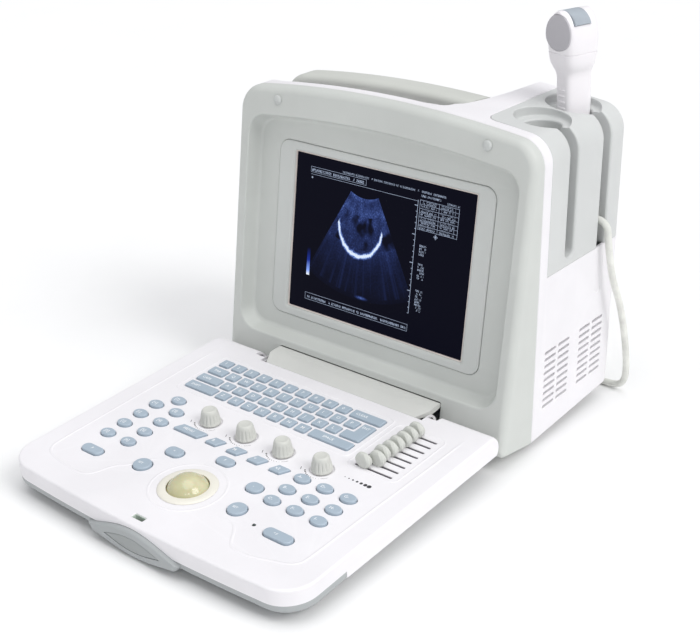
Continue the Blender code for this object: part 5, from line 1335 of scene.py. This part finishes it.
# ------------------------------------------------------------------ keys
def add_key(bm, shape, h0, h1, draft=0.35, edge=0.85):
    rings = [[(x, y, h0) for x, y in shape(0)], [(x, y, h1 - edge) for x, y in shape(-draft * 0.6)]]
    for a in quarter(5)[1:]:
        rings.append([(x, y, h1 - edge + edge * math.sin(a)) for x, y in shape(-draft * 0.6 - draft * 0.4 * math.sin(a) - edge * (1 - math.cos(a)))])
    add_loft(bm, rings)


texts = []


def label(string, u, v, h, size, owner):
    """Printed legend, a hair thicker than ink, lying on a key."""
    curve = bpy.data.curves.new("t", "FONT")
    curve.body = string
    curve.size = size
    curve.extrude = 0.02
    curve.resolution_u = 2
    curve.offset = 0.03
    obj = bpy.data.objects.new("t", curve)
    obj.matrix_world = PANEL @ MM @ Matrix.Translation((u, -v, h + 0.015))
    SCENE.collection.objects.link(obj)
    texts.append((obj, owner))


for name, keys in GROUPS.items():
    bm = bmesh.new()
    for shape, top, text, lu, lv, size in keys:
        add_key(bm, shape, -3.2, top)
        label(text, lu, lv, top, size, name)
    finish(to_object(name + "_caps", bm, PANEL), KEY, name, name, angle=50, tidy=False)
    # rubber mat that carries the caps, under the cover
    allp = [p for shape, *_ in keys for p in shape(0.6)]
    x0, x1 = min(p[0] for p in allp), max(p[0] for p in allp)
    y0, y1 = min(p[1] for p in allp), max(p[1] for p in allp)
    mat_rings = [[(x, y, h) for x, y in rounded_rect(x0 - g, y0 - g, x1 + g, y1 + g, 4.0, 5)]
                 for h, g in ((-5.0, -0.3), (-4.8, 0.0), (-3.5, 0.0), (-3.25, -0.3))]
    finish(loft(name + "_mat", mat_rings, PANEL), KEYMAT, name)
for name, (u, v, hu, hv, r, text) in KEYS.items():
    bm = bmesh.new()
    add_key(bm, stadium(u, v, hu, hv, r, 9), -4.5, 2.0, 0.5, 0.95)
    finish(to_object(name + "_cap", bm, PANEL), KEY, name, name, angle=50)
    label(text, u - (1.4 if len(text) == 1 else 4.6), v + 1.2, 2.0, 3.9 if len(text) < 3 else 3.4, name)
bpy.context.view_layer.update()
graph = bpy.context.evaluated_depsgraph_get()
by_owner = {}
for obj, owner in texts:
    mesh = bpy.data.meshes.new_from_object(obj.evaluated_get(graph), depsgraph=graph)
    mesh.transform(obj.matrix_world)
    by_owner.setdefault(owner, []).append(mesh)
for owner, meshes in by_owner.items():
    bm = bmesh.new()
    for mesh in meshes:
        bm.from_mesh(mesh)
        bpy.data.meshes.remove(mesh)
    bmesh.ops.remove_doubles(bm, verts=bm.verts, dist=1e-7)
    mesh = bpy.data.meshes.new(owner + "_legends")
    bm.to_mesh(mesh)
    bm.free()
    obj = bpy.data.objects.new(owner + "_legends", mesh)
    SCENE.collection.objects.link(obj)
    finish(obj, INK_WHITE, owner, tidy=False)
for obj, _ in texts:
    curve = obj.data
    bpy.data.objects.remove(obj, do_unlink=True)
    bpy.data.curves.remove(curve)

# ------------------------------------------------------------------ knobs
FLUTES = 15


def flute(r, h, a):
    depth = 0.75 * max(0.0, min(1.0, (h - 1.0) / 0.8)) * max(0.0, min(1.0, (11.6 - h) / 3.6))
    return -depth * (0.5 + 0.5 * math.cos(FLUTES * a)) ** 3.0 if h > 0.6 else 0.0


for i, u in enumerate(KNOB_U):
    m = PANEL @ Matrix.Translation(Vector((u, -KNOB_V, 0)) / 1000)
    prof = [(3.0, -8), (3.0, -0.5), (9.1, -0.5), (9.5, -0.2), (9.7, 0.4), (9.72, 1.2)]
    prof += [(9.72 - 0.19 * k, 1.2 + 0.95 * k) for k in range(1, 11)]
    prof += [(7.55, 11.6), (7.2, 12.5), (6.75, 13.3), (6.2, 13.9), (5.6, 14.2), (5.1, 14.25), (4.7, 14.1), (4.3, 13.95),
             (2.0, 13.9), (0.01, 13.9)]
    m_obj = turned("knob_cap_%d" % (i + 1), prof, m, 150, wobble=flute)
    finish(m_obj, KNOB, "knob_%d" % (i + 1), "knob_%d" % (i + 1), angle=40, tidy=False)

# ------------------------------------------------------------------ sliders
for i, (u, v) in enumerate(zip(SLIDER_U, SLIDER_V)):
    m = PANEL @ Matrix.Translation(Vector((u, -v, 0)) / 1000)

    def oct_plan(hx, hy, e, cut, h, r):
        """Octagon with end flats of half width e and corner cuts, softly rounded."""
        base = [(hx, -e), (hx, e), (hx - cut, hy), (-hx + cut, hy), (-hx, e), (-hx, -e), (-hx + cut, -hy), (hx - cut, -hy)]
        return [(x, y, h) for x, y in rounded(base, r, n=3)]
    bm = bmesh.new()
    rings = [oct_plan(1.6, 0.7, 0.4, 0.3, -6, 0.1), oct_plan(1.6, 0.7, 0.4, 0.3, 0.45, 0.1), oct_plan(4.8, 2.6, 0.7, 2.4, 0.5, 0.3)]
    for hx, hy, e, cut, h in ((5.7, 3.05, 1.0, 2.6, 1.6), (6.75, 3.4, 1.75, 2.3, 3.4), (7.3, 3.6, 2.3, 1.7, 5.4),
                              (7.45, 3.6, 2.5, 1.4, 7.2), (7.2, 3.5, 2.3, 1.7, 9.0), (6.5, 3.2, 1.8, 2.2, 10.8),
                              (5.6, 2.7, 1.2, 2.5, 12.2), (4.7, 2.2, 0.8, 2.4, 13.2), (3.9, 1.7, 0.6, 2.0, 13.85),
                              (2.9, 1.1, 0.4, 1.4, 14.15)):
        rings.append(oct_plan(hx, hy, e, cut, h, 0.32))
    add_loft(bm, rings)
    fin = to_object("slider_cap_%d" % (i + 1), bm, m)
    bevel(fin, 0.25, 2, 24)
    finish(fin, SLIDER, "slider_%d" % (i + 1), "slider_%d" % (i + 1), angle=36)

# ------------------------------------------------------------------ trackball
m = PANEL @ Matrix.Translation(Vector((BALL[0], -BALL[1], BALL[2])) / 1000)
bm = bmesh.new()
bmesh.ops.create_uvsphere(bm, u_segments=72, v_segments=40, radius=BALL_R)
finish(to_object("trackball_resin", bm, m), BALLMAT, "trackball", "trackball", angle=80, tidy=False)
m = PANEL @ Matrix.Translation(Vector((BALL[0], -BALL[1], 0)) / 1000)
prof = [(18.55, 0.9), (18.75, 1.5), (19.2, 1.8), (21.5, 1.9), (23.6, 1.75), (25.0, 1.4), (25.9, 0.9), (26.3, 0.5), (26.4, 0.32),
        (24.3, 0.3), (24.2, -5.6), (20.8, -5.6), (19.6, -2.4), (18.7, 0.0)]
finish(turned("ball_ring", prof, m, 120, ring=True), RING, "control_panel", "trackball_ring")
prof = [(1.3, -4), (1.3, 0.0), (1.25, 0.3), (1.05, 0.6), (0.7, 0.8), (0.3, 0.9), (0.01, 0.92)]
m = PANEL @ Matrix.Translation(Vector((82.0, -218.0, 0)) / 1000)
finish(turned("lamp_lens", prof, m, 24), LAMP, "control_panel", "status_lamp")


# ------------------------------------------------------------------ probe
def probe_ring(z, hx, hy, power=2.6, n=88):
    pts = []
    for k in range(n):
        a = 2 * math.pi * k / n
        c, s = math.cos(a), math.sin(a)
        k2 = (abs(c) ** power + abs(s) ** power) ** (-1 / power)
        pts.append((hx * k2 * c, hy * k2 * s, z))
    return pts


def spaced(table, per=6):
    """Smooth rows (z, hx, hy, power) through a few given ones."""
    rows = []
    for k in range(len(table) - 1):
        p0, p1, p2, p3 = (table[max(k - 1, 0)], table[k], table[k + 1], table[min(k + 2, len(table) - 1)])
        for j in range(per):
            t = j / per
            row = []
            for a, b, c, d in zip(p0, p1, p2, p3):
                m1, m2 = (c - a) / 2, (d - b) / 2
                if (b - a) * (c - b) <= 0:
                    m1 = 0
                if (c - b) * (d - c) <= 0:
                    m2 = 0
                row.append((2 * t ** 3 - 3 * t * t + 1) * b + (t ** 3 - 2 * t * t + t) * m1
                           + (-2 * t ** 3 + 3 * t * t) * c + (t ** 3 - t * t) * m2)
            rows.append(row)
    rows.append(list(table[-1]))
    return rows


table = [(214, 5.6, 6.6, 2.4), (214.6, 7.2, 9.0, 2.6), (218, 8.2, 12.4, 3.2), (232, 8.7, 14.4, 4.0), (262, 8.8, 15.2, 4.6),
         (300, 8.9, 15.6, 4.8), (316, 9.0, 15.6, 4.6), (322, 9.2, 15.7, 4.4), (326.5, 10.6, 16.2, 4.0), (330, 12.8, 17.2, 3.8),
         (334, 14.6, 18.3, 3.8), (339, 15.6, 19.0, 4.0), (346, 16.1, 19.4, 4.4), (354, 16.2, 19.4, 4.8), (362, 16.0, 19.4, 4.8),
         (367.6, 15.0, 19.3, 4.4), (372, 13.2, 19.1, 4.2), (375.6, 10.9, 18.9, 4.0), (378.3, 8.3, 18.6, 3.8), (380.1, 5.5, 18.2, 3.6),
         (381.0, 2.9, 17.8, 3.4), (381.2, 1.0, 17.4, 3.2)]


def lean(z):
    """The head sits a little forward of the stem's line."""
    t = max(0.0, z - 292.0)
    return -0.052 * t - 2.2 * max(0.0, min(1.0, (z - 318.0) / 20.0)) ** 2 * (3 - 2 * max(0.0, min(1.0, (z - 318.0) / 20.0)))


def leaned(ring):
    return [(x, y + lean(z), z) for x, y, z in ring]


rows = spaced(table, 5)
rings = [probe_ring(*row) for row in rows if not 343.2 < row[0] < 346.6]
seam = [(343.6, 0.0), (343.8, 0.55), (344.6, 0.6), (344.8, 0.0)]
rings = [r for r in rings if r[0][2] < 343.5] + \
        [probe_ring(z, 15.95 - d, 19.3 - d, 4.3) for z, d in seam] + [r for r in rings if r[0][2] > 345.0]
rings = [leaned(r) for r in rings]
probe = loft("probe_shell", rings, PROBE)
LENS_Z = 364.8


def crown(r_in, r_out, y0, y1, a0=20, a1=160, n=40, round_r=0.0):
    out = []
    for i in range(n + 1):
        a = math.radians(a0 + (a1 - a0) * i / n)
        c, s = math.cos(a), math.sin(a)
        if round_r:
            prof = [(r_in, y0), (r_out - round_r, y0), (r_out - round_r * 0.3, y0 + round_r * 0.3), (r_out, y0 + round_r),
                    (r_out, y1 - round_r), (r_out - round_r * 0.3, y1 - round_r * 0.3), (r_out - round_r, y1), (r_in, y1)]
        else:
            prof = [(r_in, y0), (r_out, y0), (r_out, y1), (r_in, y1)]
        out.append([(r * c, y, LENS_Z + r * s) for r, y in prof])
    return out


def cap_outline(g):
    """Egg-shaped end cap in (x, z) of the probe's head."""
    pts = []
    for k in range(56):
        a = 2 * math.pi * k / 56
        c, s = math.cos(a), math.sin(a)
        half = 15.2 + g
        z = 361.4 + ((17.4 if s > 0 else 14.6) + g) * math.copysign(abs(s) ** (1.0 if s > 0 else 0.85), s)
        pts.append((half * c * (1 - 0.06 * max(s, 0) ** 2), z))
    return pts


HEAD = lean(361.0)
c_cap = loft("f1", [[(x, y + HEAD, z) for x, z in cap_outline(0.3)] for y in (-26, -17.4)], PROBE)
c_seat = loft("f2", [[(x, y + HEAD, z) for x, y, z in r] for r in crown(13.9, 24, -13.3, 6.3, 18, 162)], PROBE)
boolean(probe, c_seat, c_cap)
finish(probe, PROBE_WHITE, "probe", "probe_body", angle=38)
cap = loft("probe_end_cap", [[(x, y + HEAD, z) for x, z in cap_outline(g)] for y, g in
                             ((-17.5, -0.2), (-17.5, 0.0), (-18.6, 0.0), (-18.95, -0.25), (-19.1, -0.7), (-19.1, -2.0), (-18.9, -5.0),
                              (-18.7, -9.0))], PROBE)
finish(cap, CAP_GREY, "probe", angle=50)
lens_strip = loft("probe_lens_strip", [[(x, y + HEAD, z) for x, y, z in r] for r in
                                       crown(14.0, 16.45, -13.0, 6, 19.5, 160.5, round_r=0.5)], PROBE)
finish(lens_strip, LENS, "probe", "probe_lens", angle=50)


def add_pill(bm, x, y, z, hx, r):
    """Small rounded rib lying along X, half sunk in the probe's narrow face."""
    rings = []
    for k in range(15):
        t = -1 + 2 * k / 14
        rr = r * math.sqrt(max(1 - abs(t) ** 3, 0.02))
        rings.append([(x + hx * t, y + 1.1 * rr * math.cos(a), z + rr * math.sin(a)) for a in
                      [2 * math.pi * q / 14 for q in range(14)]])
    add_loft(bm, rings)


bm = bmesh.new()
for k in range(5):
    z = 288.5 + 5.4 * k
    add_pill(bm, 0, -15.25 + lean(z), z, 5.2 - 0.15 * k, 1.25)
    add_pill(bm, 0, 15.25 + lean(z), z, 5.2 - 0.15 * k, 1.25)
finish(to_object("probe_grip_ribs", bm, PROBE), PROBE_WHITE, "probe", angle=60, tidy=False)
bm = bmesh.new()
add_pill(bm, 4.2, -18.75 + lean(344.2), 344.2, 5.6, 0.75)
finish(to_object("probe_index_bar", bm, PROBE), PROBE_WHITE, "probe", angle=60, tidy=False)
prof = [(3.35, 197.8), (3.9, 197.8), (4.15, 198.4)]
for k in range(5):
    z = 199.2 + 2.6 * k
    r = 4.3 + 0.33 * k
    prof += [(r - 0.35, z), (r - 0.1, z + 0.3), (r + 0.25, z + 0.8), (r + 0.25, z + 1.5), (r - 0.1, z + 2.0), (r - 0.3, z + 2.2)]
prof += [(6.0, 212.6), (6.2, 213.2), (6.2, 213.7), (3.35, 213.7)]
finish(turned("probe_relief_sleeve", prof, PROBE, 48, ring=True), RELIEF, "probe", "probe_strain_relief")


# ------------------------------------------------------------------ probe cord
CABLE_R = 3.3
FLOOR = -STAND_Z + CABLE_R + 0.15
COIL_C = (70.0, 268.0)
SOUTH = COIL_C[1] - 37.0 - 6.7
SOCK = (14.0, 60.0)


def step_to(phi, knots):
    """Smooth value of a table of (angle, value) steps."""
    for (p0, v0), (p1, v1) in zip(knots, knots[1:]):
        if phi <= p1:
            t = max(0.0, min(1.0, (phi - p0) / max(p1 - p0, 1e-9)))
            return v0 + (v1 - v0) * t * t * (3 - 2 * t)
    return knots[-1][1]


R_KNOTS = [(0, 43.7), (250, 43.7), (360, 37.0), (610, 37.0), (720, 30.3), (1180, 30.3), (1290, 37.0), (1540, 37.0),
           (1650, 43.7), (1800, 43.7)]
Z_KNOTS = [(0, 0.0), (915, 0.0), (985, 6.75), (1800, 6.75)]
R1 = 12.4
C1, C2 = (131 + R1, 194.4), (131 + R1 + 2 * R1 * math.sin(math.radians(50)), 194.4 - 2 * R1 * math.cos(math.radians(50)))
lead_in = [(C1[0] - R1 * math.cos(math.radians(t)), 172.0, C1[1] - R1 * math.sin(math.radians(t))) for t in range(0, 140, 10)]
lead_in += [(C2[0] + R1 * math.cos(math.radians(t)), 172.0 + 0.5 * (1 - t / 140), C2[1] + R1 * math.sin(math.radians(t)))
            for t in range(140, 19, -10)]
lead_in += [(175.2, 173.2, 172), (176.6, 175.2, 156), (179.2, 180, 132), (182, 191.5, 104), (183.7, 202, 72), (183.6, 211, 42),
            (182.3, 216.6, 22), (179.6, 220.2, 9.6), (174.4, 222.6, 1.6), (167.0, 223.8, FLOOR + 1.0), (158, SOUTH - 0.1, FLOOR + 0.05),
            (148, SOUTH, FLOOR), (122, SOUTH, FLOOR), (96.5, SOUTH, FLOOR)]
coil = []
for k in range(0, 181):
    phi = 10.0 * k
    r = step_to(phi, R_KNOTS)
    a = math.radians(phi)
    coil.append((COIL_C[0] - r * math.sin(a), COIL_C[1] - r * math.cos(a), FLOOR + step_to(phi, Z_KNOTS)))
lead_out = [(43.5, SOUTH, FLOOR + 6.75), (37, SOUTH, FLOOR + 6.9), (21.5, SOUTH - 0.4, 11.6), (15, SOUTH - 1.2, 20),
            (14, 222.2, 27), (14, 222.2, 32.5)]
route = lead_in + coil + lead_out
fine = catmull(route, 6)
straight = [Vector((131, 172, 197.4)), Vector((131, 172, 196.4)), Vector((131, 172, 195.4))]
path = straight + resample(fine, 2.2)
cord = loft("probe_cord", tube_rings(path, CABLE_R, 16))

# connector at the far end: body with grip ridges, and its cable relief

def conn_rect(y, g):
    return [(x, y, z) for x, z in rounded_rect(SOCK[0] - 23 - g, SOCK[1] - 9 - g, SOCK[0] + 23 + g, SOCK[1] + 9 + g, 3.2 + min(g, 0), 6)]


rows = [(205.3, -0.9), (205.8, -0.35), (206.6, 0.0), (215.0, 0.0), (215.3, -0.45), (215.9, -0.45), (216.2, 0.0)]
y = 217.6
while y < 231.0:
    rows += [(y, 0.0), (y + 0.35, -0.8), (y + 1.1, -0.8), (y + 1.45, 0.0)]
    y += 2.5
rows += [(232.6, 0.0), (234.4, -0.4), (235.5, -1.3), (235.95, -2.6)]
connector = loft("connector_shell", [conn_rect(y, g) for y, g in rows])
prof = [(3.4, 30.7), (3.9, 30.7), (4.05, 31.2)]
for k in range(6):
    z = 32.0 + 3.3 * k
    r = 4.2 + 0.3 * k
    prof += [(r - 0.35, z), (r - 0.1, z + 0.4), (r, z + 1.0), (r, z + 2.0), (r - 0.1, z + 2.5), (r - 0.35, z + 2.8)]
prof += [(5.9, 52.2), (6.0, 53.0), (6.0, 54.0), (3.4, 54.0)]
sleeve = turned("connector_sleeve", prof, TO_OBJECT @ Matrix.Translation(Vector((SOCK[0], 222.2, 0)) / 1000), 40, ring=True)
finish(connector, CONNECTOR, "root", "probe_connector")
finish(sleeve, RELIEF, "root")
for side, dx in (("left", -17.5), ("right", 17.5)):
    m = TO_OBJECT @ Matrix.Translation(Vector((SOCK[0] + dx, 235.2, SOCK[1])) / 1000) @ Matrix.Rotation(-math.pi / 2, 4, "X")
    head = turned("connector_screw_" + side, [(3.0, -1.5), (3.0, 0.1), (2.7, 0.55), (2.2, 0.7), (0.01, 0.7)], m, 28)
    slot_cut = box("g1", (-4, -0.35, 0.15), (4, 0.35, 3), m)
    boolean(head, slot_cut)
    finish(head, STEEL, "root")
finish(cord, CABLE, None, ("probe_cable", "cable_coil", "connector_cable"), angle=60, tidy=False)
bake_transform(cord)

# ------------------------------------------------------------------ back, stand and inside: the CAD's own shapes, in detailed finishes
DRESS = {
    "rear_panel": REAR, "base_pan": PAN, "rear_foot": FOOT, "middle_foot": FOOT, "main_board": BOARD, "power_supply": STEEL,
    "fan_frame": BLACK, "fan_rotor": BLACK, "power_inlet": SOCKET, "probe_socket": SOCKET, "hinge_arm_left": ARM,
    "hinge_arm_right": ARM, "hinge_shaft": PIN, "front_foot_left": FOOT, "front_foot_right": FOOT, "keyboard_board": BOARD,
}
for name, mat in DRESS.items():
    obj = NODES[name]
    if not obj.data.materials:
        obj.data.materials.append(None)
    for s in obj.material_slots:
        s.link = "OBJECT"
        s.material = mat

# ------------------------------------------------------------------ floor and light
mesh = bpy.data.meshes.new("studio_floor")
mesh.from_pydata([(-9, -9, -0.0005), (9, -9, -0.0005), (9, 9, -0.0005), (-9, 9, -0.0005)], [], [(0, 1, 2, 3)])
floor = bpy.data.objects.new("studio_floor", mesh)
SCENE.collection.objects.link(floor)
mesh.materials.append(plastic("floor_paint", (0.93, 0.93, 0.93), 0.9, 0.006, 0.0, 40.0, edge_wear_and_highlight=0.0, spec=0.1))


def cam_free_area(name, loc, target, size, power, colour=(1, 1, 1)):
    data = bpy.data.lights.new(name, "AREA")
    data.shape = "RECTANGLE"
    data.size, data.size_y = size
    data.energy = power
    data.color = colour
    obj = bpy.data.objects.new(name, data)
    d = (Vector(target) - Vector(loc)).normalized()
    obj.matrix_world = Matrix.Translation(Vector(loc)) @ d.to_track_quat("-Z", "Y").to_matrix().to_4x4()
    SCENE.collection.objects.link(obj)
    return obj


def sun(name, direction, strength, angle, colour=(1, 1, 1)):
    data = bpy.data.lights.new(name, "SUN")
    data.energy = strength
    data.angle = math.radians(angle)
    data.color = colour
    obj = bpy.data.objects.new(name, data)
    obj.matrix_world = Vector(direction).normalized().to_track_quat("Z", "Y").to_matrix().to_4x4()
    SCENE.collection.objects.link(obj)


sun("key", (0.74, 0.05, 0.67), 1.25, 32, (1.0, 0.995, 0.985))
sun("top", (0.05, -0.05, 1.0), 1.0, 50)
cam_free_area("spark_1", (0.95, -1.05, 1.05), (0, -0.2, 0.05), (0.12, 0.12), 1.1)
cam_free_area("spark_2", (0.62, -1.25, 0.95), (0, -0.2, 0.05), (0.09, 0.09), 0.7)
SCENE.view_settings.view_transform = "Standard"
SCENE.view_settings.look = "None"
world = bpy.data.worlds.new("studio")
world.use_nodes = True
world.node_tree.nodes["Background"].inputs[0].default_value = (0.96, 0.97, 1.0, 1)
world.node_tree.nodes["Background"].inputs[1].default_value = 0.52
SCENE.world = world

bpy.context.view_layer.update()
